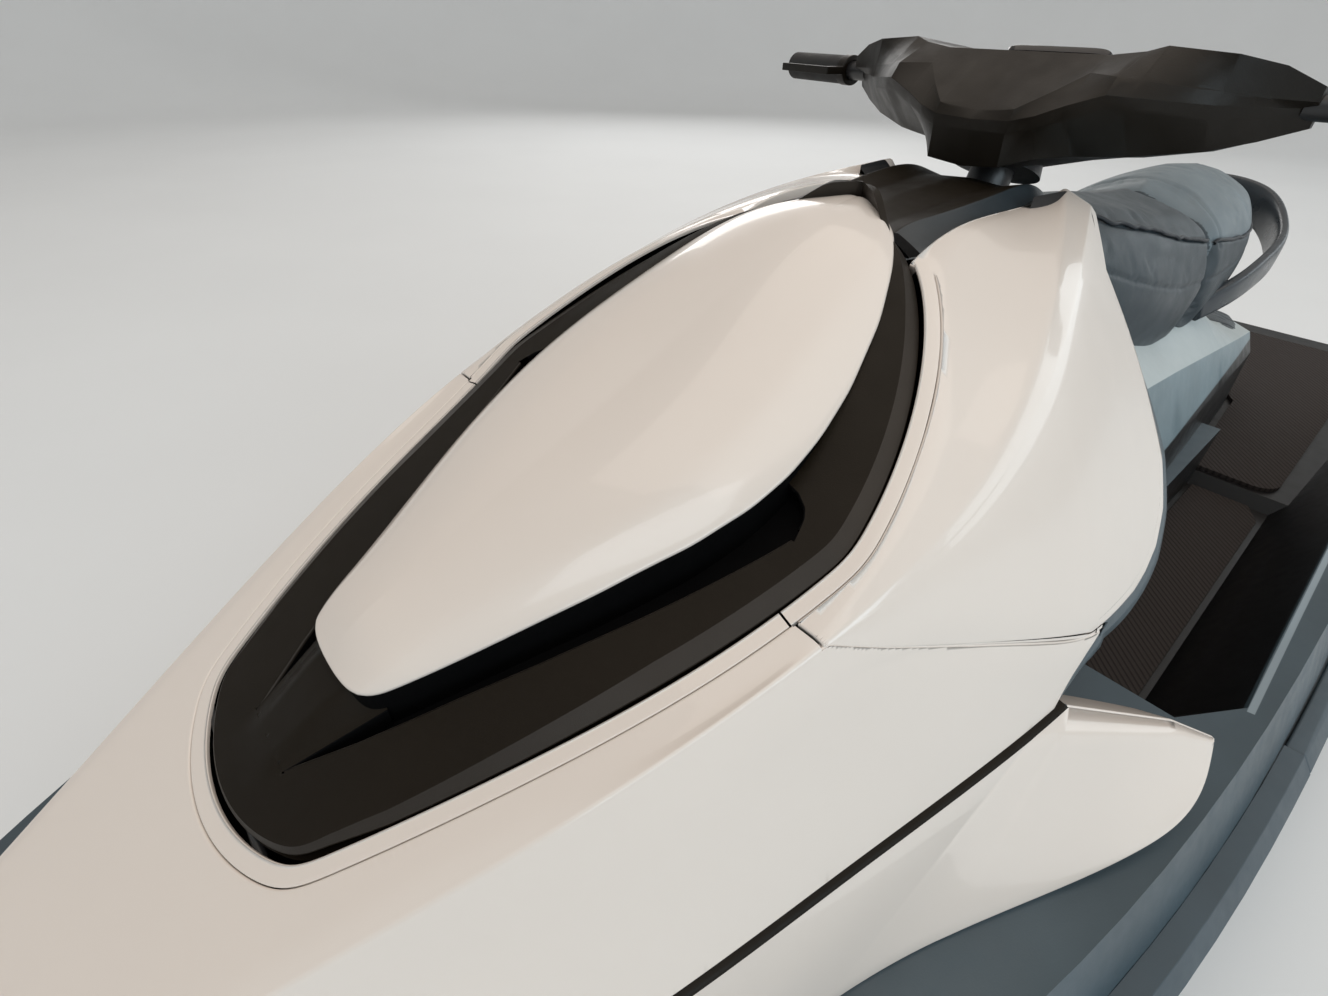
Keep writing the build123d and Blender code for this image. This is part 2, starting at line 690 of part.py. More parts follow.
# Pedestal between the footwells and on the stern platform
with BuildPart() as pedestal:
    for x, foot_y, low_y, low_z, hip_y, hip_z, top_y, top_z in PEDESTAL_SECTIONS:
        half = [(0, PEDESTAL_BASE_Z), (foot_y, PEDESTAL_BASE_Z), (low_y, low_z), (hip_y, hip_z), (top_y, top_z),
                (0, top_z)]
        with BuildSketch(Plane.YZ.offset(x)):
            with BuildLine():
                Polyline(*mirrored(half), close=True)
            make_face()
    loft(ruled=True)
    add(deck.part, mode=Mode.SUBTRACT)
    add(hull.part, mode=Mode.SUBTRACT)
    add(battery.part, mode=Mode.SUBTRACT)
    add(hood.part, mode=Mode.SUBTRACT)
    add(neck_cover.part, mode=Mode.SUBTRACT)
    add(cowl_block, mode=Mode.SUBTRACT)
pedestal.part.label = "pedestal"
export_step(pedestal.part, "parts/pedestal.step")
export_step(neck_cover.part, "parts/neck_cover.step")

pad_place = Plane(origin=((PAD_FRONT_X + PAD_REAR_X) / 2, 0, PAD_Z)).rotated((0, -PAD_SLOPE, 0))
with BuildPart() as rear_pad:
    with BuildSketch(pad_place.offset(-2 * PAD_THICK)):
        RectangleRounded(PAD_FRONT_X - PAD_REAR_X, 2 * PAD_HALF, (PAD_FRONT_X - PAD_REAR_X) / 3)
    extrude(amount=3 * PAD_THICK)
    add(pedestal.part, mode=Mode.SUBTRACT)
rear_pad.part.label = "rear_pad"
export_step(rear_pad.part, "parts/rear_pad.step")

# Seat: front and rear cushions, plain crowned solids on the pedestal
for name, rows in (("seat_front", SEAT_FRONT_SECTIONS), ("seat_rear", SEAT_REAR_SECTIONS)):
    with BuildPart() as cushion:
        for x, base_y, base_z, belly_y, belly_z, shoulder_y, shoulder_z, crown in rows:
            half = [(0, base_z), (base_y, base_z), (belly_y, belly_z), (shoulder_y, shoulder_z), (0, crown)]
            with BuildSketch(Plane.YZ.offset(x)):
                with BuildLine():
                    Polyline(*mirrored(half), close=True)
                make_face()
        loft()
        add(pedestal.part, mode=Mode.SUBTRACT)
        add(neck_cover.part, mode=Mode.SUBTRACT)
    cushion.part.label = name
    export_step(cushion.part, f"parts/{name}.step")
    seat_pieces = [cushion.part] if name == "seat_front" else seat_pieces + [cushion.part]

# Grab handle behind the seat
with BuildPart() as grab_handle:
    with BuildLine() as grab_path:
        FilletPolyline(*GRAB_PATH, *[(x, -y, z) for x, y, z in reversed(GRAB_PATH)], radius=GRAB_BEND)
    with BuildSketch(Plane(origin=grab_path.line @ 0, x_dir=(0, 1, 0), z_dir=grab_path.line % 0)):
        RectangleRounded(GRAB_THICK, GRAB_WIDE, GRAB_THICK / 2 - 1)
    sweep()
    add(pedestal.part, mode=Mode.SUBTRACT)
    for cushion_part in seat_pieces:
        add(cushion_part, mode=Mode.SUBTRACT)
grab_handle.part.label = "grab_handle"
export_step(grab_handle.part, "parts/grab_handle.step")

# Foam mats in the footwells and on the stern platform
mat_front_x = WELL_FRONT_X - 30 - MAT_MARGIN
with BuildPart() as mats:
    with BuildSketch(Plane.XY.offset(WELL_FLOOR_Z)):
        with BuildLine():
            Polyline((STEP_X + STEP_SLOPE + MAT_MARGIN, WELL_IN_Y + MAT_MARGIN), (mat_front_x, WELL_IN_Y + MAT_MARGIN),
                     (mat_front_x, WELL_OUT_LOW_Y - WELL_CORNER - MAT_MARGIN),
                     (mat_front_x - WELL_CORNER * 1.6, WELL_OUT_LOW_Y - MAT_MARGIN),
                     (STEP_X + STEP_SLOPE + MAT_MARGIN + WELL_CORNER, WELL_OUT_LOW_Y - MAT_MARGIN),
                     (STEP_X + STEP_SLOPE + MAT_MARGIN, WELL_OUT_LOW_Y - MAT_MARGIN - WELL_CORNER / 2), close=True)
        make_face()
    extrude(amount=MAT_THICK)
mats.part.label = "mat_port"
export_step(mats.part, "parts/mat_port.step")
with BuildPart() as mat_starboard:
    add(mats.part)
    mirror(about=Plane.XZ, mode=Mode.REPLACE)
mat_starboard.part.label = "mat_starboard"
export_step(mat_starboard.part, "parts/mat_starboard.step")

mat_long = STEP_X - MAT_MARGIN - STERN_X - MAT_STERN_GAP
mat_layer = side_band(FLOOR_LINE[2:], MAT_THICK, 0)
with BuildPart() as mat_platform:
    with BuildSketch():
        with Locations((STEP_X - MAT_MARGIN - mat_long / 2, 0)):
            RectangleRounded(mat_long, 2 * (WELL_OUT_LOW_Y - MAT_MARGIN), 40)
    extrude(amount=DECK_Z)
    add(mat_layer, mode=Mode.INTERSECT)
    with BuildSketch():
        with BuildLine():
            inner = [(x - MAT_MARGIN, foot_y + MAT_MARGIN) for x, foot_y, *others in PEDESTAL_SECTIONS if x < STEP_X]
            inner = [(0, inner[0][1] + 2)] + inner
            Polyline(*inner, *[(x, -y) for x, y in reversed(inner)], close=True)
        make_face()
    extrude(amount=DECK_Z, mode=Mode.SUBTRACT)
mat_platform.part.label = "mat_platform"
export_step(mat_platform.part, "parts/mat_platform.step")

# Bow and tow eyes
for name, (eye_x, eye_z), root_x in (("bow_eye", BOW_EYE, BOW_X - EYE_R), ("tow_eye", TOW_EYE, STERN_X)):
    with BuildPart() as eye:
        with BuildSketch(Plane.XZ):
            with Locations((eye_x, eye_z)):
                Circle(EYE_R)
        extrude(amount=EYE_HALF, both=True)
        with Locations(((eye_x + root_x) / 2, 0, eye_z)):
            Box(abs(eye_x - root_x), 2 * EYE_HALF, 2 * EYE_R)
        with BuildSketch(Plane.XZ):
            with Locations((eye_x, eye_z)):
                Circle(EYE_HOLE_R)
        extrude(amount=EYE_HALF + 1, both=True, mode=Mode.SUBTRACT)
        add(body_form.part, mode=Mode.SUBTRACT)
        add(bumper_form.part, mode=Mode.SUBTRACT)
    eye.part.label = name
    export_step(eye.part, f"parts/{name}.step")

# Lid: bezel with its slots, and the leaf panel on it
lid_band = side_band(LID_LINE, 0, -BEZEL_THICK)
with BuildPart() as leaf_form:
    for x, edge_y, edge_z, crease_y, crease_z, crown in LEAF_SECTIONS:
        half = [(0, edge_z - LEAF_SKIRT), (edge_y, edge_z - LEAF_SKIRT), (edge_y, edge_z), (crease_y, crease_z), (0, crown)]
        with BuildSketch(Plane.YZ.offset(x)):
            with BuildLine():
                Polyline(*mirrored(half), close=True)
            make_face()
    loft()
bezel_plate = common(lid_outline, lid_band)
with BuildPart() as slot_prism:
    with BuildSketch(Plane.XY.offset(DECK_Z)):
        with BuildLine():
            Polyline(*SLOT_OUTLINE, close=True)
        make_face()
    extrude(amount=500)
    mirror(about=Plane.XZ)
slots = common(slot_prism.part, side_band(LID_LINE, 50, -SLOT_DEEP))
leaf_under = side_band(LID_LINE, -BEZEL_THICK / 2, -400)
with BuildPart() as lid_bezel:
    add(bezel_plate)
    add(slots, mode=Mode.SUBTRACT)
    with BuildSketch(hinge_pin_place):
        Circle(HINGE_PIN_R + RUN_GAP)
    extrude(amount=HINGE_PIN_HALF, both=True, mode=Mode.SUBTRACT)
lid_bezel.part.label = "lid_bezel"
export_step(lid_bezel.part, "parts/lid_bezel.step")
with BuildPart() as lid_panel:
    add(leaf_form.part)
    add(lid_bezel.part, mode=Mode.SUBTRACT)
    add(leaf_under, mode=Mode.SUBTRACT)
lid_panel.part.label = "lid_panel"
export_step(lid_panel.part, "parts/lid_panel.step")

# Steering
pod_rows = [(-y, *points) for y, *points in reversed(POD_SECTIONS[1:])] + POD_SECTIONS
with BuildPart() as pod_form:
    for y, *points in pod_rows:
        with BuildSketch(Plane.XZ.offset(-y)):
            with BuildLine():
                Polyline(*points, close=True)
            make_face()
    loft(ruled=True)
display_place = Plane(origin=(DISPLAY_X, 0, DISPLAY_Z)).rotated((0, -DISPLAY_TILT, 0))
with BuildPart() as display:
    with BuildSketch(display_place):
        RectangleRounded(DISPLAY_TALL, DISPLAY_WIDE, DISPLAY_THICK)
    extrude(amount=DISPLAY_THICK)
display.part.label = "display"
export_step(display.part, "parts/display.step")
with BuildPart() as steering_pod:
    add(pod_form.part)
    add(display.part, mode=Mode.SUBTRACT)
steering_pod.part.label = "steering_pod"
export_step(steering_pod.part, "parts/steering_pod.step")
with BuildPart() as column:
    with BuildSketch(steer_plane.offset(-COLUMN_SINK)):
        Circle(COLUMN_R)
    extrude(amount=COLUMN_SINK + COLUMN_RISE + 30)
    with BuildSketch(steer_plane.offset(BOOT_TALL)):
        Circle(BOOT_R)
    with BuildSketch(steer_plane.offset(COLUMN_RISE + 20)):
        Circle(BOOT_TOP_R)
    loft()
    add(pod_form.part, mode=Mode.SUBTRACT)
column.part.label = "steering_column"
export_step(column.part, "parts/steering_column.step")

bar_vector = Vector(*BAR_TIP) - Vector(*BAR_ROOT)
bar_plane = Plane(origin=BAR_ROOT, x_dir=(1, 0, 0), z_dir=bar_vector)
with BuildPart() as bar:
    with BuildSketch(bar_plane):
        Circle(BAR_R)
    extrude(amount=bar_vector.length - 4)
    add(steering_pod.part, mode=Mode.SUBTRACT)
grip_plane = bar_plane.offset(bar_vector.length - GRIP_LONG)
with BuildPart() as grip:
    with BuildSketch(grip_plane):
        Circle(GRIP_R)
    extrude(amount=GRIP_LONG)
    add(bar.part, mode=Mode.SUBTRACT)
clamp_plane = grip_plane.offset(-CLAMP_LONG - 1)
with BuildPart() as lever:
    with BuildSketch(clamp_plane):
        Circle(CLAMP_R)
        with Locations((CLAMP_R, 0)):
            Rectangle(2 * CLAMP_R, LEVER_THICK)
    extrude(amount=CLAMP_LONG)
    with BuildSketch(clamp_plane):
        with Locations((LEVER_REACH - 4, 0)):
            Rectangle(10, LEVER_THICK)
    extrude(amount=CLAMP_LONG + GRIP_LONG * 0.8)
    add(bar.part, mode=Mode.SUBTRACT)
with BuildPart() as handlebar:
    add(bar.part)
    mirror(about=Plane.XZ)
handlebar.part.label = "handlebar"
export_step(handlebar.part, "parts/handlebar.step")
for solid, left_name, right_name in ((grip, "grip_port", "grip_starboard"), (lever, "lever_port", "lever_starboard")):
    solid.part.label = left_name
    export_step(solid.part, f"parts/{left_name}.step")
    with BuildPart() as other:
        add(solid.part)
        mirror(about=Plane.XZ, mode=Mode.REPLACE)
    other.part.label = right_name
    export_step(other.part, f"parts/{right_name}.step")

# Jet pump
pump_axis = Axis((0, 0, PUMP_Z), (1, 0, 0))
flange_x = TRANSOM_X - FLANGE_THICK
with BuildPart() as pump_housing:
    with BuildSketch(Plane.XZ):
        with BuildLine():
            Polyline((PUMP_FRONT_X, PUMP_Z + PUMP_BORE_R), (PUMP_FRONT_X, PUMP_Z + PUMP_R),
                     (TRANSOM_X, PUMP_Z + PUMP_R), (TRANSOM_X, PUMP_Z + FLANGE_R), (flange_x, PUMP_Z + FLANGE_R),
                     (flange_x, PUMP_Z + VENTURI_R), (VENTURI_X, PUMP_Z + VENTURI_R),
                     (VENTURI_X, PUMP_Z + VENTURI_R - VENTURI_WALL), (flange_x, PUMP_Z + VENTURI_R - VENTURI_WALL),
                     (CONE_X, PUMP_Z + PUMP_BORE_R), close=True)
        make_face()
    revolve(axis=pump_axis)
    ear_long = flange_x - NOZZLE_PIVOT_X + EAR_HALF
    ear_low = NOZZLE_FRONT_R + NOZZLE_WALL + EAR_GAP
    for up in (1, -1):
        with Locations((flange_x - ear_long / 2, 0, PUMP_Z + up * (ear_low + EAR_THICK / 2))):
            Box(ear_long, 2 * EAR_HALF, EAR_THICK)
        with Locations((flange_x - ear_long / 2, up * (HINGE_EAR_Y + EAR_THICK / 2), PUMP_Z)):
            Box(ear_long, EAR_THICK, 2 * EAR_HALF)
    with BuildSketch(Plane.XY.offset(PUMP_Z)):
        with Locations((NOZZLE_PIVOT_X, 0)):
            Circle(PIN_R + RUN_GAP)
    extrude(amount=FLANGE_R + 20, both=True, mode=Mode.SUBTRACT)
    with BuildSketch(Plane.XZ):
        with Locations((BUCKET_HINGE_X, PUMP_Z)):
            Circle(PIN_R + RUN_GAP)
    extrude(amount=FLANGE_R + 40, both=True, mode=Mode.SUBTRACT)
    with BuildSketch(Plane.YZ.offset(flange_x)):
        with Locations((0, PUMP_Z)):
            Circle(VENTURI_R)
            Circle(VENTURI_R - VENTURI_WALL, mode=Mode.SUBTRACT)
    extrude(amount=VENTURI_X - flange_x)
    cone_front_x = IMPELLER_X - IMPELLER_LONG / 2 - STATOR_GAP
    with BuildSketch(Plane.XZ):
        with BuildLine():
            Polyline((cone_front_x, PUMP_Z), (cone_front_x, PUMP_Z + HUB_R),
                     (cone_front_x - STATOR_LONG, PUMP_Z + HUB_R), (CONE_TAIL_X, PUMP_Z + CONE_TAIL_R),
                     (CONE_TAIL_X, PUMP_Z), close=True)
        make_face()
    revolve(axis=pump_axis)
    for vane in range(STATOR_VANES):
        vane_place = Plane(origin=(cone_front_x, 0, PUMP_Z), x_dir=(1, 0, 0), z_dir=(0, 0, 1))
        vane_place = vane_place.rotated((360 / STATOR_VANES * vane, 0, 0))
        with BuildSketch(vane_place.offset(HUB_R - 3)):
            with Locations((-STATOR_LONG / 2, 0)):
                Rectangle(STATOR_LONG, STATOR_THICK)
        extrude(amount=VANE_R - HUB_R + 3)
pump_housing.part.label = "pump_housing"
export_step(pump_housing.part, "parts/pump_housing.step")

with BuildPart() as impeller:
    with BuildSketch(Plane.YZ.offset(IMPELLER_X - IMPELLER_LONG / 2)):
        with Locations((0, PUMP_Z)):
            Circle(HUB_R)
    extrude(amount=IMPELLER_LONG)
    with BuildSketch(Plane.YZ.offset(IMPELLER_X)):
        with Locations((0, PUMP_Z)):
            Circle(SHAFT_R)
    extrude(amount=MOTOR_X - MOTOR_SIZE[0] / 2 - IMPELLER_X - 0.3)
    blade_middle = (IMPELLER_R + HUB_R) / 2 - BLADE_THICK / 2
    for blade in range(BLADES):
        for station in range(BLADE_STATIONS):
            along = BLADE_LONG * (station / (BLADE_STATIONS - 1) - 0.5)
            turn = 360 * (blade / BLADES + along / BLADE_PITCH)
            with BuildSketch(Plane.YZ.offset(IMPELLER_X + along)):
                with Locations(Location((0, PUMP_Z), turn)):
                    with Locations((blade_middle, 0)):
                        Rectangle(IMPELLER_R - HUB_R + BLADE_THICK, 2 * BLADE_THICK)
        loft()
impeller.part.label = "impeller"
export_step(impeller.part, "parts/impeller.step")

nozzle_front = NOZZLE_PIVOT_X + NOZZLE_LEAD
nozzle_rear = nozzle_front - NOZZLE_LONG
with BuildPart() as nozzle:
    with BuildSketch(Plane.XZ):
        with BuildLine():
            Polyline((nozzle_front, PUMP_Z + NOZZLE_FRONT_R), (nozzle_front, PUMP_Z + NOZZLE_FRONT_R + NOZZLE_WALL),
                     (NOZZLE_PIVOT_X - 12, PUMP_Z + NOZZLE_FRONT_R + NOZZLE_WALL),
                     (nozzle_rear, PUMP_Z + NOZZLE_REAR_R + NOZZLE_WALL), (nozzle_rear, PUMP_Z + NOZZLE_REAR_R),
                     (NOZZLE_PIVOT_X - 12, PUMP_Z + NOZZLE_FRONT_R), close=True)
        make_face()
    revolve(axis=pump_axis)
    for up in (1, -1):
        with BuildSketch(Plane.XY.offset(PUMP_Z + up * (NOZZLE_FRONT_R + NOZZLE_WALL - 3))):
            with Locations((NOZZLE_PIVOT_X, 0)):
                Circle(PIN_R)
        extrude(amount=up * (EAR_GAP + EAR_THICK + 3))
nozzle.part.label = "steering_nozzle"
export_step(nozzle.part, "parts/steering_nozzle.step")

# Reverse bucket: a curved shell on two arms, stowed above the jet
def bucket_point(radius, angle):
    turn = math.radians(angle)
    return (BUCKET_HINGE_X - radius * math.cos(turn), PUMP_Z + radius * math.sin(turn))


bucket_out_r = BUCKET_IN_R + BUCKET_WALL
middle_angle = (BUCKET_LOW_ANGLE + BUCKET_HIGH_ANGLE) / 2
arm_inner = BUCKET_HALF - BUCKET_WALL
with BuildPart() as bucket:
    with BuildSketch(Plane.XZ):
        with BuildLine():
            ThreePointArc(bucket_point(bucket_out_r, BUCKET_LOW_ANGLE), bucket_point(bucket_out_r, middle_angle),
                          bucket_point(bucket_out_r, BUCKET_HIGH_ANGLE))
            Line(bucket_point(bucket_out_r, BUCKET_HIGH_ANGLE), bucket_point(BUCKET_IN_R, BUCKET_HIGH_ANGLE))
            ThreePointArc(bucket_point(BUCKET_IN_R, BUCKET_HIGH_ANGLE), bucket_point(BUCKET_IN_R, middle_angle),
                          bucket_point(BUCKET_IN_R, BUCKET_LOW_ANGLE))
            Line(bucket_point(BUCKET_IN_R, BUCKET_LOW_ANGLE), bucket_point(bucket_out_r, BUCKET_LOW_ANGLE))
        make_face()
    extrude(amount=BUCKET_HALF, both=True)
    for side in (1, -1):
        with BuildSketch(Plane.XZ.offset(-side * arm_inner)):
            with BuildLine():
                Line(bucket_point(14, BUCKET_LOW_ANGLE - 90), bucket_point(bucket_out_r, BUCKET_LOW_ANGLE))
                ThreePointArc(bucket_point(bucket_out_r, BUCKET_LOW_ANGLE), bucket_point(bucket_out_r, middle_angle),
                              bucket_point(bucket_out_r, BUCKET_HIGH_ANGLE))
                Line(bucket_point(bucket_out_r, BUCKET_HIGH_ANGLE), bucket_point(14, BUCKET_HIGH_ANGLE + 90))
                Line(bucket_point(14, BUCKET_HIGH_ANGLE + 90), bucket_point(14, BUCKET_LOW_ANGLE - 90))
            make_face()
        extrude(amount=-side * BUCKET_WALL)
        with BuildSketch(Plane.XZ.offset(-side * (arm_inner + 2))):
            with Locations((BUCKET_HINGE_X, PUMP_Z)):
                Circle(PIN_R)
        extrude(amount=side * (arm_inner + 2 - HINGE_EAR_Y))
bucket.part.label = "reverse_bucket"
export_step(bucket.part, "parts/reverse_bucket.step")
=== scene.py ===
import math

import bmesh
import bpy
import numpy as np
from mathutils import Matrix, Vector
from mathutils.bvhtree import BVHTree


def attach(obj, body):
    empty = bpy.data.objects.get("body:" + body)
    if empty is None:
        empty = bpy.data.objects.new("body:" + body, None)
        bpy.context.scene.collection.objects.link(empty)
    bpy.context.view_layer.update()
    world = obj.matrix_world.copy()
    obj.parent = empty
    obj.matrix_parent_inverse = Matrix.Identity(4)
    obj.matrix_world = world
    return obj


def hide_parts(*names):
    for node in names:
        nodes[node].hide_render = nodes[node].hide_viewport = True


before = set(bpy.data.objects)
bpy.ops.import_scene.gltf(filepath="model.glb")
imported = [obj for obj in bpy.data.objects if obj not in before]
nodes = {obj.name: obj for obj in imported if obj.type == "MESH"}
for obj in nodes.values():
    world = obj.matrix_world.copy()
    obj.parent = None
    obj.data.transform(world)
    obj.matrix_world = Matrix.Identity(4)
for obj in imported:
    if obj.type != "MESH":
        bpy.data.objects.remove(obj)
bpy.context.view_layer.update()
scene = bpy.context.scene


# Materials

def shade(color, share):
    return (*(min(1.0, c * share) for c in color), 1)


class Finish:
    """A procedural material whose patterns lie on object coordinates in metres."""

    def __init__(self, name, color, roughness, specular=0.5, **more):
        self.mat = bpy.data.materials.new(name)
        self.mat.use_nodes = True
        self.tree = self.mat.node_tree
        self.shader = self.tree.nodes["Principled BSDF"]
        self.color = color
        more |= {"Base Color": (*color, 1), "Roughness": roughness, "Specular IOR Level": specular}
        for key, value in more.items():
            self.shader.inputs[key].default_value = value
        self.where = self.tree.nodes.new("ShaderNodeTexCoord").outputs["Object"]

    def node(self, kind, inputs, **settings):
        """A new node whose inputs are linked to outputs of others or set to values."""
        made = self.tree.nodes.new("ShaderNode" + kind)
        for key, value in settings.items():
            setattr(made, key, value)
        for key, value in inputs.items():
            if isinstance(value, bpy.types.NodeSocket):
                self.tree.links.new(value, made.inputs[key])
            else:
                made.inputs[key].default_value = value
        return made

    def noise(self, scale, detail=3.0, rough=0.5):
        inputs = {"Vector": self.where, "Scale": scale, "Detail": detail, "Roughness": rough}
        return self.node("TexNoise", inputs).outputs["Fac"]

    def remap(self, value, low, high, from_low=0.3, from_high=0.7):
        inputs = {"Value": value, "From Min": from_low, "From Max": from_high, "To Min": low, "To Max": high}
        return self.node("MapRange", inputs).outputs["Result"]

    def mix(self, factor, first, second):
        """Sets the base colour to a mix of two colours."""
        mixed = self.node("Mix", {"Factor": factor, "A": first, "B": second}, data_type="RGBA")
        self.tree.links.new(mixed.outputs["Result"], self.shader.inputs["Base Color"])

    def tint(self, pattern, dark, light):
        """Colour that drifts between two shares of the base colour."""
        self.mix(pattern, shade(self.color, dark), shade(self.color, light))
        return self

    def drift(self, scale, dark, light, detail=3.0):
        return self.tint(self.remap(self.noise(scale, detail), 0, 1), dark, light)

    def rough(self, scale, low, high, detail=3.0):
        """Roughness that varies between two bounds."""
        spread = self.remap(self.noise(scale, detail), low, high)
        self.tree.links.new(spread, self.shader.inputs["Roughness"])
        return self

    def bump(self, height, strength, distance):
        made = self.node("Bump", {"Height": height, "Strength": strength, "Distance": distance})
        socket = self.shader.inputs["Normal"]
        if socket.is_linked:
            self.tree.links.new(socket.links[0].from_socket, made.inputs["Normal"])
        self.tree.links.new(made.outputs["Normal"], socket)
        return self

    def grain(self, strength, distance, *pattern):
        return self.bump(self.noise(*pattern), strength, distance)

    def axes(self, source="Object"):
        """The x, the distance from the centre line and the z of a coordinate."""
        vector = self.tree.nodes.new("ShaderNodeTexCoord").outputs[source]
        parts = self.node("SeparateXYZ", {"Vector": vector}).outputs
        return parts["X"], self.node("Math", {0: parts["Y"]}, operation="ABSOLUTE").outputs[0], parts["Z"]

    def product(self, mask, *others):
        for other in others:
            mask = self.node("Math", {0: mask, 1: other}, operation="MULTIPLY").outputs[0]
        return mask

    def above(self, value, low, high):
        """A mask that rises from 0 to 1 between two values."""
        return self.remap(value, 0, 1, low, high)

    def below(self, value, low, high):
        """A mask that falls from 1 to 0 between two values."""
        return self.remap(value, 1, 0, low, high)

    def within(self, value, low, high, soft=0.0004):
        """A mask that is 1 where a value lies between two bounds."""
        over_low = self.above(value, low - soft, low + soft)
        return self.product(over_low, self.below(value, high - soft, high + soft))

    def paint(self, color, *masks):
        """Mixes a colour into the base colour where all masks are 1."""
        under = self.shader.inputs["Base Color"].links[0].from_socket
        self.mix(self.product(*masks), under, (*color, 1))


def gloss_shell(name, color):
    finish = Finish(name, color, 0.22, **{"Coat Weight": 0.6, "Coat Roughness": 0.03})
    return finish.drift(3.0, 0.975, 1.02).rough(26.0, 0.2, 0.26).grain(0.012, 0.002, 55.0, 1.0)


def moulded(name, color, roughness, scale=900.0, depth=0.0003, specular=0.5):
    """Moulded plastic with a fine spark-eroded grain."""
    finish = Finish(name, color, roughness, specular).drift(6.0, 0.88, 1.12, 4.0)
    return finish.rough(40.0, roughness - 0.05, roughness + 0.06).grain(0.35, depth, scale, 2.0, 0.6)


def vinyl(name, color, roughness):
    """Leather-like grain from small cells over slow wrinkles."""
    finish = Finish(name, color, roughness, 0.35)
    cells = finish.node("TexVoronoi", {"Scale": 420.0, "Vector": finish.where}, feature="DISTANCE_TO_EDGE")
    finish.drift(9.0, 0.9, 1.1, 4.0).rough(30.0, roughness - 0.06, roughness + 0.08)
    finish.bump(finish.remap(cells.outputs["Distance"], 0, 1, 0.0, 0.25), 0.4, 0.00035)
    return finish.grain(0.15, 0.002, 18.0, 3.0)


def foam(name, color):
    """Closed-cell foam cut with close diagonal grooves, with painted shade in their bottoms."""
    finish = Finish(name, color, 0.85, 0.25)
    turned = finish.node("Mapping", {"Rotation": (0, 0, math.radians(45)), "Vector": finish.where})
    wave = finish.node("TexWave", {"Scale": 38.0, "Distortion": 0.0, "Vector": turned.outputs["Vector"]})
    groove = wave.outputs["Fac"]
    # Painted shade: the colour darkens towards the groove bottoms
    finish.tint(finish.remap(groove, 0, 1, 0.0, 0.6), 0.55, 1.15)
    return finish.bump(finish.remap(groove, 0, 1, 0.0, 0.5), 0.5, 0.0014).grain(0.5, 0.0004, 1400.0, 2.0)


def metal(name, color, roughness):
    finish = Finish(name, color, roughness, Metallic=1.0)
    finish.rough(60.0, roughness * 0.8, roughness * 1.3, 4.0).drift(12.0, 0.93, 1.04)
    return finish.grain(0.1, 0.0002, 700.0, 2.0)


white = gloss_shell("white_gelcoat", (0.745, 0.675, 0.615))
black = moulded("black_moulding", (0.01, 0.007, 0.0038), 0.45, specular=0.15)
# A lighter copy of the black moulding, a painted highlight on the bezel's chamfer and slot lips
painted_highlight_black = moulded("black_painted_highlight", (0.024, 0.0195, 0.0155), 0.42, specular=0.3)
neck_grey = moulded("neck_side", (0.022, 0.031, 0.038), 0.38, specular=0.4)
pod_black = moulded("pod_moulding", (0.0085, 0.0062, 0.0038), 0.42, 700.0, specular=0.22)
slate = moulded("slate_deck", (0.05, 0.077, 0.095), 0.38, 500.0)
hull_grey = moulded("hull_moulding", (0.05, 0.058, 0.064), 0.35, 500.0)
bumper_grey = moulded("bumper_rubber", (0.045, 0.068, 0.085), 0.45, 600.0)
tub_black = moulded("tub_moulding", (0.02, 0.02, 0.021), 0.6, 400.0, 0.0006)
handle_grey = moulded("handle_moulding", (0.03, 0.038, 0.046), 0.3, 800.0)
case_grey = moulded("case_paint", (0.03, 0.03, 0.032), 0.5)
mat_foam = foam("foam_mat", (0.033, 0.027, 0.025))
seat_dark = vinyl("seat_vinyl_dark", (0.042, 0.055, 0.064), 0.4)
# A lighter copy of the seat vinyl, a painted reflection on the rear seat's top
seat_painted_reflection = vinyl("seat_vinyl_painted_reflection", (0.15, 0.185, 0.205), 0.45)
piping_dark = vinyl("seat_piping_dark", (0.016, 0.02, 0.026), 0.4)
steel = metal("polished_steel", (0.62, 0.62, 0.61), 0.22)
alloy = metal("cast_alloy", (0.42, 0.43, 0.44), 0.45)
pump_black = moulded("pump_coating", (0.022, 0.023, 0.025), 0.4)
bar_black = moulded("bar_paint", (0.018, 0.018, 0.019), 0.35)
rubber = moulded("grip_rubber", (0.016, 0.016, 0.016), 0.7, 1200.0)
# Near black for painted shade in the slots, the gutter round the lid and behind the panel seam
painted_shade_black = moulded("painted_shade_black", (0.0012, 0.0012, 0.0014), 0.75, 600.0, specular=0.08)
screen = moulded("screen_glass", (0.006, 0.007, 0.009), 0.12, 2000.0, 0.00002)
pedestal_grey = moulded("pedestal_moulding", (0.18, 0.245, 0.275), 0.35, specular=0.4)

# The deck's wells are near black, partly black plastic and partly painted shade; the gunwale's inner edge
# has a painted highlight, and the joint over the bumper is dark
WELL_HALF, WELL_RIM_Z, WELL_FRONT, WELL_FADE = 0.484, 0.2465, 0.27, 0.002
x, side, z = slate.axes()
# Painted shade, over black plastic, inside the wells
in_well = [slate.below(value, edge, edge + WELL_FADE)
           for value, edge in ((side, WELL_HALF), (z, WELL_RIM_Z), (x, WELL_FRONT))]
slate.paint((0.003, 0.003, 0.0035), *in_well)
# Painted highlight along the gunwale's inner edge
slate.paint((0.26, 0.32, 0.36), slate.within(side, 0.4815, 0.4885), slate.within(z, 0.24, 0.262),
            slate.within(x, -0.62, 0.16))
slate.paint((0.004, 0.004, 0.005), slate.within(z, 0.168, 0.1805))

# The pedestal has a painted highlight where it looks up and painted shade, near black, below its sill
PEDESTAL_SILL_Z = 0.335
facing_up = pedestal_grey.axes("Normal")[2]
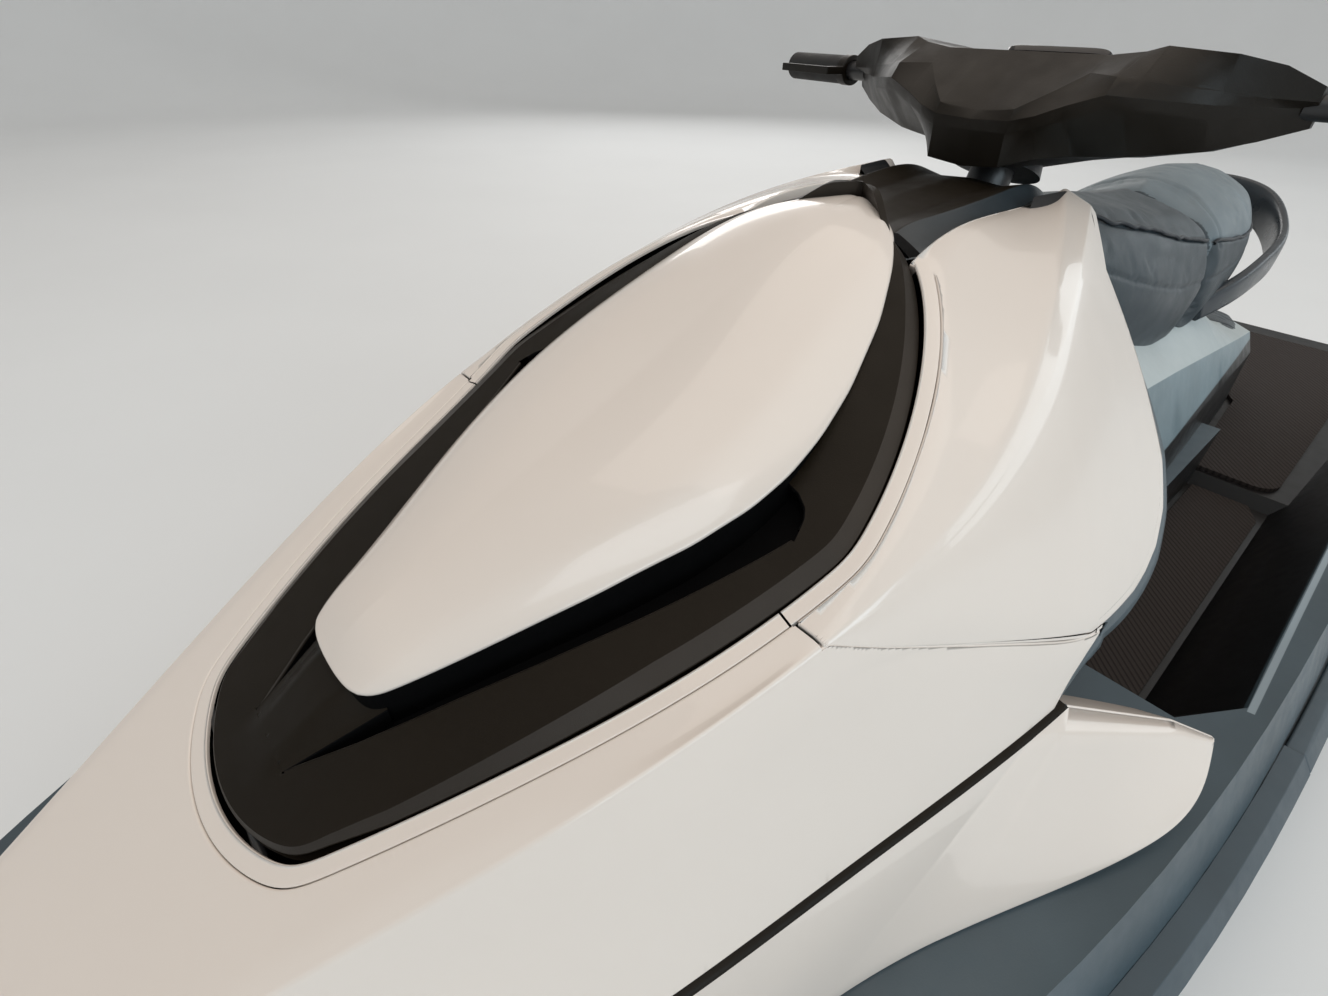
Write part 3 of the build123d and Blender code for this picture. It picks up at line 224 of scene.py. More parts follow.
# Painted highlight on faces that look up
pedestal_grey.paint((0.42, 0.48, 0.49), pedestal_grey.above(facing_up, 0.6, 0.72))
height = pedestal_grey.axes()[2]
# Painted shade below the sill
pedestal_grey.paint((0.006, 0.007, 0.008),
                    pedestal_grey.below(height, PEDESTAL_SILL_Z - 0.0015, PEDESTAL_SILL_Z + 0.0015))

# The nodes that show as they are: finish, width of their softened edges in metres, names
NODE_LOOKS = [
    (slate, 0.006, "deck"),
    (hull_grey, 0.006, "hull"),
    (bumper_grey, 0.004, "bumper_bow bumper_port bumper_starboard bumper_stern"),
    (pedestal_grey, 0.008, "pedestal"),
    (tub_black, 0, "storage_tub"),
    (mat_foam, 0.0015, "mat_port mat_starboard mat_platform"),
    (steel, 0, "bow_eye tow_eye impeller"),
    (case_grey, 0, "battery"),
    (alloy, 0, "motor"),
    (pump_black, 0.001, "pump_housing steering_nozzle"),
    (pump_black, 0.0015, "reverse_bucket"),
    (pump_black, 0, "intake_grate"),
    (pod_black, 0.003, "steering_pod"),
    (pod_black, 0.002, "lever_port lever_starboard"),
    (bar_black, 0, "handlebar steering_column lid_hinge_pin"),
    (rubber, 0, "grip_port grip_starboard"),
]


def smooth_faces(mesh):
    for face in mesh.polygons:
        face.use_smooth = True


def soften(obj, width):
    obj.modifiers.new("weld", "WELD").merge_threshold = 0.00002
    edge = obj.modifiers.new("edge", "BEVEL")
    edge.width = width
    edge.segments = 3
    edge.limit_method = "ANGLE"
    edge.angle_limit = math.radians(22)
    smooth_faces(obj.data)
    normals = obj.modifiers.new("normals", "WEIGHTED_NORMAL")
    normals.keep_sharp = True
    normals.weight = 60


for finish, width, names in NODE_LOOKS:
    for name in names.split():
        nodes[name].data.materials.clear()
        nodes[name].data.materials.append(finish.mat)
        if width:
            soften(nodes[name], width)


# Smooth surfaces through station tables, which are in millimetres

def mm(values):
    return np.array(values, float) / 1000


def unit(vectors):
    return vectors / (np.linalg.norm(vectors, axis=-1, keepdims=True) + 1e-12)


def spline_through(stations, values):
    """A natural cubic spline through the points, as a function of the station."""
    x, y = np.array(stations, float), np.array(values, float)
    h = np.diff(x)
    rows = np.eye(len(x))
    right = np.zeros(len(x))
    for i in range(1, len(x) - 1):
        rows[i, i - 1:i + 2] = h[i - 1], 2 * (h[i - 1] + h[i]), h[i]
        right[i] = 6 * ((y[i + 1] - y[i]) / h[i] - (y[i] - y[i - 1]) / h[i - 1])
    second = np.linalg.solve(rows, right)

    def value(at):
        at = np.asarray(at, float)
        i = np.clip(np.searchsorted(x, at) - 1, 0, len(h) - 1)
        a = (x[i + 1] - at) / h[i]
        b = (at - x[i]) / h[i]
        curve = ((a ** 3 - a) * second[i] + (b ** 3 - b) * second[i + 1]) * h[i] ** 2 / 6
        return a * y[i] + b * y[i + 1] + curve
    return value


def tapered(*pairs):
    """A length that changes along x, straight between pairs of x and length; one pair makes it constant."""
    xs, values = zip(*sorted(pairs))
    return lambda x: np.interp(x, xs, values)


class Shell:
    """A surface over stations x and a section parameter t, with rounded corners at whole values of t."""

    def __init__(self, table, corners, rounding, bulge=None):
        columns = mm(table).T
        self.points = [[spline_through(columns[0], columns[1 + 2 * i + axis]) for axis in (0, 1)]
                       for i in range(corners)]
        self.rounding = rounding
        self.bulge = bulge or {}

    def __call__(self, x, t):
        x, t = np.broadcast_arrays(np.asarray(x, float), np.asarray(t, float))
        corner = np.stack([np.stack([fy(x), fz(x)], -1) for fy, fz in self.points])
        last = len(self.points) - 1
        k = np.clip(np.floor(t).astype(int), 0, last - 1)
        here, there = (np.take_along_axis(corner, (k + i)[None, ..., None], 0)[0] for i in (0, 1))
        base = here + (there - here) * (t - k)[..., None]
        for i, depth in self.bulge.items():
            run = corner[i + 1] - corner[i]
            out = unit(np.stack([-run[..., 1], run[..., 0]], -1))
            swell = np.where(k == i, 4 * (t - i) * (1 - (t - i)), 0) * depth(x)
            base = base + out * swell[..., None]
        for i in range(1, last):
            before, after = corner[i - 1] - corner[i], corner[i + 1] - corner[i]
            long_before, long_after = (np.linalg.norm(run, axis=-1, keepdims=True) + 1e-9
                                       for run in (before, after))
            before, after = before / long_before, after / long_after
            cut = np.minimum(self.rounding[i](x)[..., None], 0.49 * np.minimum(long_before, long_after))
            is_before = t[..., None] < i
            along = (t[..., None] - i) * np.where(is_before, long_before, long_after)
            w = np.clip((along + cut) / (2 * cut + 1e-9), 0, 1)
            start, end = corner[i] + before * cut, corner[i] + after * cut
            arc = start * (1 - w) ** 2 + 2 * w * (1 - w) * corner[i] + end * w ** 2
            chord = corner[i] + np.where(is_before, before, after) * np.abs(along)
            base = base + np.where(np.abs(along) < cut, arc - chord, 0)
        return np.concatenate([x[..., None], base], -1)

    def normal(self, x, t):
        step_x, step_t = 0.0008, 0.02
        last = len(self.points) - 1
        dx = self(x + step_x, t) - self(x - step_x, t)
        dt = self(x, np.clip(t + step_t, 0, last)) - self(x, np.clip(t - step_t, 0, last))
        return unit(np.cross(dt, dx))


# Upper mouldings: x, then y and z of the crown, bevel, both edges of the facet, seam and trim line
UPPER = [
    (200, 0, 730, 88, 734, 103, 748, 134, 736, 345, 455, 352, 428),
    (300, 0, 730, 96, 736, 150, 729, 176, 711, 344, 457, 352, 424),
    (450, 0, 718, 118, 722, 216, 676, 232, 660, 340, 464, 350, 412),
    (560, 0, 655, 194, 660, 246, 624, 254, 614, 306, 503, 335, 397),
    (721, 0, 566, 236, 566, 242, 565, 244, 563, 256, 536, 305, 377),
    (900, 0, 498, 186, 498, 199, 496.5, 201, 495, 222, 450, 268, 350),
    (1100, 0, 413, 118, 413, 129, 411.5, 131, 410, 155, 370, 205, 315),
    (1270, 0, 338, 64, 338, 73, 334.5, 75, 333, 95, 312, 128, 280),
    (1405, 0, 288, 14, 288, 19.5, 285.5, 20.5, 284.5, 28, 275, 40, 262),
]
BEVEL, FACET_IN, FACET_OUT, SEAM, TRIM = 1, 2, 3, 4, 5
BOW_X = 1.405
facet_round = tapered((0.25, 0.004), (0.6, 0.006), (0.8, 0.02), (1.4, 0.006))
upper = Shell(UPPER, 6, {
    BEVEL: tapered((0.25, 0.012), (0.6, 0.02), (1.4, 0.005)),
    FACET_IN: facet_round,
    FACET_OUT: facet_round,
    SEAM: tapered((0.25, 0.03), (0.6, 0.03), (1.4, 0.012)),
}, {FACET_OUT: tapered((0.25, 0.012), (0.45, 0.008), (0.721, 0.0), (1.4, 0.0))})


def up_facing(normal):
    return np.where(normal[..., 2:] < 0, -normal, normal)


def on_upper(x, y):
    """Section parameter at which the upper shell's top passes over a plan point."""
    t = np.zeros(np.shape(x))
    for i in (0, 1, 2):
        a, b = upper.points[i][0](x), upper.points[i + 1][0](x)
        t = np.where(y > a, i + np.clip((y - a) / np.maximum(b - a, 1e-6), 0, 1), t)
    return t


def upper_over(plan):
    """Points of the upper shell over plan points, and its normals there."""
    t = on_upper(plan[..., 0], plan[..., 1])
    return upper(plan[..., 0], t), up_facing(upper.normal(plan[..., 0], t))


def skin(x, t):
    """Points of the upper shell, and its normals there, up or away from the centre line."""
    points, normal = upper(x, t), upper.normal(x, t)
    facing = normal[..., 2:] + np.sign(points[..., 1:2] + 1e-9) * normal[..., 1:2]
    return points, np.where(facing < 0, -normal, normal)


# Lines of points

def lengths_along(points):
    return np.r_[0, np.cumsum(np.linalg.norm(np.diff(points, axis=0), axis=1))]


def arc_through(a, b, c, count):
    """Points on the circle through three plan points, from the first to the last."""
    a, b, c = (np.array(p, float) for p in (a, b, c))
    centre = np.linalg.solve(2 * np.stack([b - a, c - a]), [b @ b - a @ a, c @ c - a @ a])
    start, end = (math.atan2(*(p - centre)[::-1]) for p in (a, c))
    turn = (end - start + math.pi) % (2 * math.pi) - math.pi
    where = start + turn * np.linspace(0, 1, count)
    return centre + np.hypot(*(a - centre)) * np.stack([np.cos(where), np.sin(where)], -1)


def smooth_line(points, passes):
    """Rounds the corners of an open line and keeps its ends."""
    points = np.array(points, float)
    for _ in range(passes):
        points[1:-1] = (points[:-2] + 2 * points[1:-1] + points[2:]) / 4
    return points


def even(points, step):
    """The same line with points at equal steps."""
    points = np.array(points, float)
    along = lengths_along(points)
    at = np.linspace(0, along[-1], max(2, int(round(along[-1] / step)) + 1))
    return np.stack([np.interp(at, along, column) for column in points.T], -1)


def grown(line, amount):
    """The plan line moved outward by an amount, which may differ along it."""
    both = np.vstack([line[::-1][:-1] * (1, -1), line])
    run = np.gradient(both, axis=0)
    out = np.stack([-run[:, 1], run[:, 0]], -1)[len(line) - 1:]
    out = out / np.linalg.norm(out, axis=1, keepdims=True)
    out = -out if out[0, 0] < 0 else out
    return line + out * np.reshape(amount, (-1, 1))


def along_x(line, x):
    """The second coordinate of a line at x."""
    order = np.argsort(line[:, 0])
    return np.interp(x, line[order, 0], line[order, 1])


def across(inner, outer, shares):
    """A grid from one line to another, at even steps or at given shares of the way."""
    shares = np.linspace(0, 1, shares) if isinstance(shares, int) else shares
    return inner + (outer - inner) * np.reshape(shares, (-1, 1, 1))


def line_of(*columns):
    return np.stack(np.broadcast_arrays(*columns), -1)


# The lid's plan outline, from the nose aft to the tail, on the port side
nose = arc_through((1.018, -0.094), (1.046, 0), (1.018, 0.094), 41)[20:]
bow_side = arc_through((1.018, 0.094), (0.844, 0.17), (0.668, 0.216), 60)
hip_side = arc_through((0.668, 0.216), (0.566, 0.182), (0.455, 0.09), 50)
half_outline = even(np.vstack([nose, bow_side[1:], hip_side[1:], (0.398, 0.0)]), 0.004)
full_outline = np.vstack([half_outline[::-1] * (1, -1), half_outline[1:]])
LID_OUTLINE = smooth_line(full_outline, 12)[len(half_outline) - 1:]


# Meshes from grids of points

def index_grid(grid, first=0):
    return first + np.arange(grid.shape[0] * grid.shape[1]).reshape(grid.shape[:2])


def quads(index, flip=False):
    faces = np.stack([index[:-1, :-1], index[:-1, 1:], index[1:, 1:], index[1:, :-1]], -1).reshape(-1, 4)
    return (faces[:, ::-1] if flip else faces).tolist()


def new_mesh(name, points, faces):
    mesh = bpy.data.meshes.new(name)
    mesh.from_pydata(np.reshape(points, (-1, 3)).tolist(), [], faces)
    mesh.update()
    return mesh


def placed(name, data):
    """A new object in the scene."""
    obj = bpy.data.objects.new(name, data)
    scene.collection.objects.link(obj)
    return obj


def build(name, grids, finish, body="craft", both_sides=True):
    """One object from grids of points, mirrored to starboard, with doubled points merged."""
    points, faces, first = [], [], 0
    for grid in grids:
        grid = np.asarray(grid, float)
        for side in (1, -1) if both_sides else (1,):
            points.append((grid * (1, side, 1)).reshape(-1, 3))
            faces += quads(index_grid(grid, first), flip=side < 0)
            first += grid.shape[0] * grid.shape[1]
    mesh = new_mesh(name, np.vstack(points), faces)
    work = bmesh.new()
    work.from_mesh(mesh)
    bmesh.ops.remove_doubles(work, verts=work.verts, dist=0.00005)
    bmesh.ops.delete(work, geom=[f for f in work.faces if f.calc_area() < 1e-12], context="FACES")
    bmesh.ops.delete(work, geom=[v for v in work.verts if not v.link_faces], context="VERTS")
    work.to_mesh(mesh)
    work.free()
    smooth_faces(mesh)
    mesh.materials.append(finish.mat)
    obj = placed(name, mesh)
    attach(obj, body)
    return obj


def out_of(border, inside, normal):
    """Directions along the surface, square to a border and away from the points inside it."""
    out = unit(np.cross(np.gradient(border, axis=0), normal))
    return np.where((out * (border - inside)).sum(-1, keepdims=True) < 0, -out, out)


def rolled_edge(border, inside, normal, radius=0.0015, depth=0.008):
    """A rounded edge along a border and a wall down from it."""
    out = out_of(border, inside, normal)
    rows = [border + out * radius * math.sin(turn) - normal * radius * (1 - math.cos(turn))
            for turn in map(math.radians, (0, 22, 45, 67, 90))]
    return np.stack(rows + [rows[-1] - normal * depth])


def upper_edge(x, t, x_inside, t_inside, radius=0.0015, depth=0.008):
    """A rolled edge along a path on the upper shell, with a second path inside it."""
    points, normals = skin(x, t)
    return rolled_edge(points, upper(x_inside, t_inside), normals, radius, depth)


# Grid lines over the section: marks of the section parameter and the steps between them
SECTION_MARKS = (0.0, 0.9, 1.1, 1.85, 2.0, 2.12, 2.85, 3.0, 3.12, 3.88, 4.15, 5.0)
SECTION_STEPS = (12, 8, 8, 4, 4, 4, 4, 4, 16, 8, 12)


def section_grid(x, low, high):
    """The upper shell over stations, between a lowest and a highest section parameter at each."""
    steps = []
    for a, b, count in zip(SECTION_MARKS, SECTION_MARKS[1:], SECTION_STEPS):
        steps += list(np.linspace(a, b, count, endpoint=False))
    steps.append(SECTION_MARKS[-1])
    return upper(x, np.clip(np.array(steps)[:, None], low, high))


SEAM_LINE = mm([(721.5, 566.5), (600, 520), (450, 464), (240, 455)])
SEAM_TOP_X, SEAM_FOOT_X, SEAM_HALF = 0.7215, 0.4355, 0.021


def seam_parameter(x):
    """Section parameter of the seam between hood and cowls."""
    high_z, low_z = upper.points[FACET_OUT][1](x), upper.points[SEAM][1](x)
    return FACET_OUT + np.clip((high_z - along_x(SEAM_LINE, x)) / np.maximum(high_z - low_z, 1e-6), 0, 1)


RIM_IN, RIM_OUT, HOOD_GAP = 0.0032, 0.0135, 0.0028
rim_inner = grown(LID_OUTLINE, RIM_IN)
rim_outer = grown(LID_OUTLINE, RIM_OUT)
main_edge = grown(LID_OUTLINE, RIM_OUT + HOOD_GAP)
NECK_EDGE = mm([(470, 98), (376, 92.5), (300, 90), (200, 88)])

# Where the mouldings end aft: section parameters over x for the cowl, then for the hood under the seam
COWL_END = np.array([(0.2, 3.02), (0.22, 3.06), (0.249, 3.12), (0.25, 3.7), (0.27, 3.84), (0.3, 3.92),
                     (0.333, 3.95), (0.388, 3.97), (0.435, 3.985), (0.4351, 9)])
HOOD_END = np.array([(0.435, 4.02), (0.455, 4.31), (0.473, 4.64), (0.49, 5.0)])
COWL_AFT_X, HOOD_AFT_X = 0.2, 0.49

# Hood: the part ahead of the panel seam, then the side under the seam
front_edge = main_edge[main_edge[:, 0] >= SEAM_TOP_X]
front_x = np.unique(np.r_[np.linspace(SEAM_TOP_X, BOW_X, 150), front_edge[:, 0]])
lid_y = along_x(main_edge[main_edge[:, 0] > 0.66], front_x)
front_grid = section_grid(front_x, np.where(front_x <= main_edge[0, 0], on_upper(front_x, lid_y), 0), 5.0)
edge_points, edge_normals = upper_over(front_edge)
inner_points = edge_points + np.c_[grown(front_edge, 0.004) - front_edge, np.zeros(len(front_edge))]
lid_side_edge = rolled_edge(edge_points, inner_points, edge_normals)
side_x = np.linspace(SEAM_FOOT_X, SEAM_TOP_X, 100)
side_high = along_x(HOOD_END, side_x)
side_low = np.minimum(seam_parameter(side_x) + SEAM_HALF, side_high)
side_grid = section_grid(side_x, side_low, side_high)
seam_edge = upper_edge(side_x, side_low, side_x, side_low + 0.03)
end_x = np.linspace(SEAM_FOOT_X, HOOD_AFT_X, 40)
hood_end = line_of(end_x, along_x(HOOD_END, end_x))
hood_end_edge = upper_edge(*hood_end.T, *(hood_end + (0.01, -0.1)).T, 0.003, 0.02)
trim_x = np.linspace(HOOD_AFT_X, BOW_X, 200)
trim_edge = upper_edge(trim_x, 5.0, trim_x, 4.95, depth=0.012)
hood = build("hood_shell", [front_grid, side_grid, lid_side_edge, seam_edge, hood_end_edge, trim_edge],
             white)
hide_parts("hood")

# Cowls behind the seam
cowl_x = np.unique(np.r_[np.linspace(COWL_AFT_X, 0.7185, 150), 0.249, 0.25])
lid_side = along_x(main_edge[main_edge[:, 0] < 0.8], cowl_x)
neck_side = along_x(NECK_EDGE, cowl_x) + 0.001
cowl_low = on_upper(cowl_x, np.where(cowl_x > 0.462, np.maximum(lid_side, neck_side), neck_side))
cowl_high = np.minimum(seam_parameter(cowl_x) - SEAM_HALF, along_x(COWL_END, cowl_x))
cowl_grid = section_grid(cowl_x, cowl_low, cowl_high)
inner_edge = upper_edge(cowl_x, cowl_low, cowl_x, cowl_low + 0.05)
low_x, low_t = cowl_x[cowl_x >= 0.436], cowl_high[cowl_x >= 0.436]
lower_edge = upper_edge(low_x, low_t, low_x, low_t - 0.05)
front_t = np.linspace(cowl_low[-1], cowl_high[-1], 40)
front_side_edge = upper_edge(cowl_x[-1], front_t, cowl_x[-1] - 0.005, front_t)
step_x, slope_x = np.linspace(0.2005, 0.249, 20), np.linspace(0.2505, 0.4345, 60)
slope_t = np.minimum(along_x(COWL_END, slope_x), seam_parameter(slope_x) - SEAM_HALF)
stretches = [(COWL_AFT_X, np.linspace(cowl_low[0], 3.02, 40), (0.005, 0)),
             (step_x, along_x(COWL_END, step_x), (0.003, -0.05)),
             (0.25, np.linspace(3.13, 3.7, 40), (0.005, 0)),
             (slope_x, slope_t, (0.003, -0.05))]
cowl_end = np.vstack([line_of(x, t) for x, t, shift in stretches])
cowl_end_in = cowl_end + np.vstack([np.tile(shift, (len(t), 1)) for x, t, shift in stretches])
rear_edge = upper_edge(*cowl_end.T, *cowl_end_in.T, 0.004, 0.03)
cowls = build("cowl_shells", [cowl_grid, inner_edge, lower_edge, front_side_edge, rear_edge],
              white)
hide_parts("cowl_port", "cowl_starboard")

# Dark wall that closes the mouldings aft, and the grey band under their rear edge
WALL_X, WALL_Y, WALL_FOOT_Z = 0.262, 0.1, 0.25
end_path = np.vstack([cowl_end, hood_end])
wall_out = upper(end_path[:, 0] + 0.006, np.maximum(end_path[:, 1] - 0.03, cowl_low[0]))
wall_down = np.tile(wall_out[-1] - (0, 0.006, 0), (8, 1))
wall_down[:, 2] = np.linspace(wall_out[-1, 2], WALL_FOOT_Z, 8)
wall = np.vstack([wall_out, wall_down])
wall_in = line_of(WALL_X, np.minimum(wall[:, 1], WALL_Y), wall[:, 2])
build("hood_back", [[wall, wall_in]], tub_black)
BAND_START, BAND_WIDE = 78, 0.024
band_path = end_path[BAND_START:]
band_points, band_normals = skin(*band_path.T)
band_out = out_of(band_points, upper(*(band_path + (0.01, -0.08)).T), band_normals)
band_wide = (BAND_WIDE * np.sin(np.linspace(0, math.pi, len(band_path))) ** 0.5)[:, None]
band_top = band_points - band_normals * 0.002
band_middle = band_top + band_out * band_wide * 0.6 + band_normals * 0.001
band_low = band_top + band_out * band_wide
band_rows = [band_top - band_out * 0.006, band_top, band_middle, band_low, band_low - band_normals * 0.012]
build("shoulder_band", [band_rows], slate)


# Trim strip under the hood's edge, then the side panels with their flared wings

def trim_spot(x, out, down):
    y, z = upper.points[TRIM]
    return line_of(x, y(x) + out, z(x) - down)


STRIP_AFT_X = 0.476
strip_x = np.linspace(STRIP_AFT_X, BOW_X, 200)
strip_out = tapered((STRIP_AFT_X, 0.0055), (0.9, 0.0055), (1.3, 0.004), (BOW_X, 0.0015))(strip_x)
trim_face = [trim_spot(strip_x, -0.003, 0.0035), trim_spot(strip_x, strip_out * 0.2, 0.0042),
             trim_spot(strip_x, strip_out, 0.0058), trim_spot(strip_x, strip_out, 0.03)]
trims = build("trim_strips", [trim_face], black)
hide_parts("trim_port", "trim_starboard")

# Outline of the side panel: tip and middle of its wing, then its foot, in millimetres
WING_TIP, WING_MIDDLE = (310, 458, 318), (362, 421, 353)
FOOT = mm([WING_TIP, (345, 469.5, 296), (440, 456, 268), (560, 408, 258), (690, 358, 256),
           (900, 306, 256), (1180, 196, 256), (1290, 130, 255), (1385, 64, 253.5)])
PANEL_BOW_X, PANEL_DOWN, PANEL_OUT = 1.385, 0.0062, 0.005
foot_y, foot_z = (spline_through(FOOT[:, 0], FOOT[:, i]) for i in (1, 2))
fore_x = np.linspace(PANEL_BOW_X, 0.52, 130)
fore_out = tapered((0.52, PANEL_OUT), (0.9, PANEL_OUT), (1.3, 0.0035), (PANEL_BOW_X, 0.0015))(fore_x)
fore_top = trim_spot(fore_x, fore_out, PANEL_DOWN)
mid_top = trim_spot(np.linspace(0.518, STRIP_AFT_X, 12), PANEL_OUT, PANEL_DOWN)
wing_top = even(np.vstack([mid_top[-1:], mm([WING_MIDDLE, WING_TIP])]), 0.004)[1:]
panel_top = np.vstack([fore_top, mid_top, wing_top])
foot_x = np.r_[np.linspace(PANEL_BOW_X, 0.76, 130), np.linspace(0.756, 0.64, 12),
               np.linspace(0.632, 0.31, len(wing_top))]
panel_foot = line_of(foot_x, foot_y(foot_x), foot_z(foot_x))
panel_foot[-1] = mm(WING_TIP)
panel_down = panel_foot - panel_top
panel_normal = unit(np.cross(np.gradient(panel_top, axis=0), panel_down))
panel_normal = np.where(panel_normal[:, 1:2] < 0, -panel_normal, panel_normal)
facet = np.r_[np.zeros(len(fore_top) - 1), np.linspace(0.0, 0.022, len(mid_top) + 1),
              np.linspace(0.024, 0.005, len(wing_top))]
facet_share = np.clip(facet / np.maximum(np.linalg.norm(panel_down, axis=1), 1e-4), 0.02, 0.5)
FACET_RISE = 0.25
rows = [(facet_share * share, share) for share in (0.0, 0.92, 1.0)]
rows += [(facet_share + (1 - facet_share) * share, (1 - share) ** 2) for share in np.linspace(0, 1, 16)[1:]]
panel_grid = [panel_top + panel_down * down[:, None] + panel_normal * (FACET_RISE * rise * facet)[:, None]
              for down, rise in rows]
panel_foot_edge = rolled_edge(panel_grid[-1], panel_grid[-2], panel_normal, 0.003, 0.012)
wing = slice(len(fore_top) + len(mid_top) - 1, None)
wing_edge = rolled_edge(panel_grid[0][wing], panel_grid[2][wing], panel_normal[wing], 0.002, 0.03)
panels = build("side_panels", [panel_grid, panel_foot_edge, wing_edge], white)
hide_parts("side_panel_port", "side_panel_starboard")


def squared_ring(count, first_power, second_power):
    """Two coordinates of a closed ring from -1 to 1, squarer the smaller the powers are."""
    turn = np.linspace(0, 2 * math.pi, count)
    return [np.sign(wave) * np.abs(wave) ** power
            for wave, power in ((np.cos(turn), first_power), (np.sin(turn), second_power))]


# Display plate on the pod
PLATE_CENTRE, PLATE_LONG, PLATE_WIDE, PLATE_TILT = (0.056, 0, 0.842), 0.03, 0.058, math.radians(38)
plate_x, plate_y = (ring[:, None] for ring in squared_ring(49, 0.25, 0.25))
plate_along = np.array((math.cos(PLATE_TILT), 0, math.sin(PLATE_TILT)))
plate_up = np.array((-math.sin(PLATE_TILT), 0, math.cos(PLATE_TILT)))
plate = plate_x * PLATE_LONG * plate_along + plate_y * PLATE_WIDE * np.array((0, 1, 0))
PLATE_STEPS = [(1.0, -0.004), (1.0, 0.0015), (0.985, 0.0024), (0.95, 0.0026), (0.93, 0.0018), (0.5, 0.0018),
               (0.0, 0.0018)]
plate_grid = [np.array(PLATE_CENTRE) + plate * share + plate_up * height for share, height in PLATE_STEPS]
display_plate = build("display_plate", [plate_grid], screen, "steering", both_sides=False)
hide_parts("display")

# Neck between the lid's tail and the pod: a creased black centre and a grey flank on each side
NECK = [
    (100, 0, 710, 40, 708, 66, 706, 83, 680),
    (200, 0, 742, 40, 739, 69, 746, 87, 733),
    (273, 0, 743, 40, 739.5, 70.5, 746, 88.5, 731),
    (323, 0, 740, 38, 736, 68, 741.5, 89, 726),
    (376, 0, 733, 36, 731, 60, 735.5, 91.5, 721),
    (400, 0, 727, 34, 727, 54, 731, 93.5, 719.5),
    (455, 0, 696, 30, 700, 50, 702, 97.5, 719.5),
]
neck = Shell(NECK, 4, {1: tapered((0, 0.004)), 2: tapered((0, 0.0025))})
neck_x = np.linspace(0.1, 0.455, 90)
centre_steps = np.unique(np.r_[np.linspace(0, 0.85, 8), np.linspace(0.85, 1.15, 7),
                               np.linspace(1.15, 1.9, 8), np.linspace(1.9, 2.0, 4)])
neck_flank = neck(neck_x, np.r_[np.linspace(2.0, 2.15, 5), np.linspace(2.2, 3.0, 8)][:, None])
neck_wall = [neck_flank[-1], neck_flank[-1] - (0, 0, 0.03)]
neck_top = build("neck_centre", [neck(neck_x, centre_steps[:, None])], black)
build("neck_flanks", [neck_flank, neck_wall], neck_grey)
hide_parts("neck_cover")

# Rim strip along the lid's opening, parted at the panel seam
rim_x, rim_index = rim_inner[:, 0], np.arange(len(rim_inner))
seam_at, aft_at = np.interp((-SEAM_TOP_X, -0.72), -rim_x, rim_index)
last_at = rim_index[(rim_inner[:, 1] > along_x(NECK_EDGE, rim_x)) | (rim_x > 0.48)][-1]
strip_grids = []
for first, last in ((0, seam_at), (aft_at, last_at)):
    at = np.unique(np.r_[first, rim_index[(rim_index > first) & (rim_index < last)], last])
    inner, outer = (line_of(*(np.interp(at, rim_index, column) for column in line.T))
                    for line in (rim_inner, rim_outer))
    points, normals = upper_over(across(inner, outer, 7))
    strip_grids += [points, rolled_edge(points[0], points[1], normals[0], 0.0008, 0.0022),
                    rolled_edge(points[-1], points[-2], normals[-1], 0.0008, 0.004)]
build("rim_strip", strip_grids, white)

# The ledge under the lid and a dark backing behind the panel seam, both near black as painted shade, and a
# flange behind the panel seam
LID_TOP = spline_through(*mm([[380, 430, 520, 620, 721, 850, 950, 1046, 1120],
                              [740, 728.5, 678, 616, 566, 517, 477.5, 438, 404]]))
LEDGE_DROP, TUB_INSET = 0.0225, 0.027


def at_height(plan, drop):
    """Plan points at a drop below the lid's top line."""
    return np.concatenate([plan, LID_TOP(plan[..., 0])[..., None] - drop], -1)


ledge_line, gutter_line = grown(LID_OUTLINE, -TUB_INSET), grown(LID_OUTLINE, RIM_IN + 0.0009)
groove_points, _ = upper_over(grown(LID_OUTLINE, RIM_OUT + 0.0012))
gutter_points, _ = upper_over(gutter_line)
gutter = [groove_points - (0, 0, 0.0045), gutter_points - (0, 0, 0.0045), gutter_points - (0, 0, 0.0032),
          at_height(gutter_line, LEDGE_DROP), at_height(ledge_line, LEDGE_DROP)]
build("lid_ledge", [gutter], painted_shade_black)


def along_seam(offsets, depth):
    """The upper shell on both sides of the seam, pushed in by a depth."""
    backing_x = np.linspace(0.43, SEAM_TOP_X, 70)
    points, normals = skin(backing_x, seam_parameter(backing_x) + np.reshape(offsets, (-1, 1)))
    return points - normals * depth


JOINT_X = 0.72
joint_t = np.linspace(on_upper(JOINT_X, along_x(rim_outer, JOINT_X)), seam_parameter(JOINT_X) + 0.05, 30)
joint_back = upper(np.array([[0.712], [0.7195], [0.727]]), joint_t) - (0, 0.003, 0.0045)
build("seam_backing", [along_seam((-0.045, 0, 0.045), 0.0045), joint_back], painted_shade_black)
build("seam_flange", [along_seam((-0.007, 0.007), 0.0008)], white)

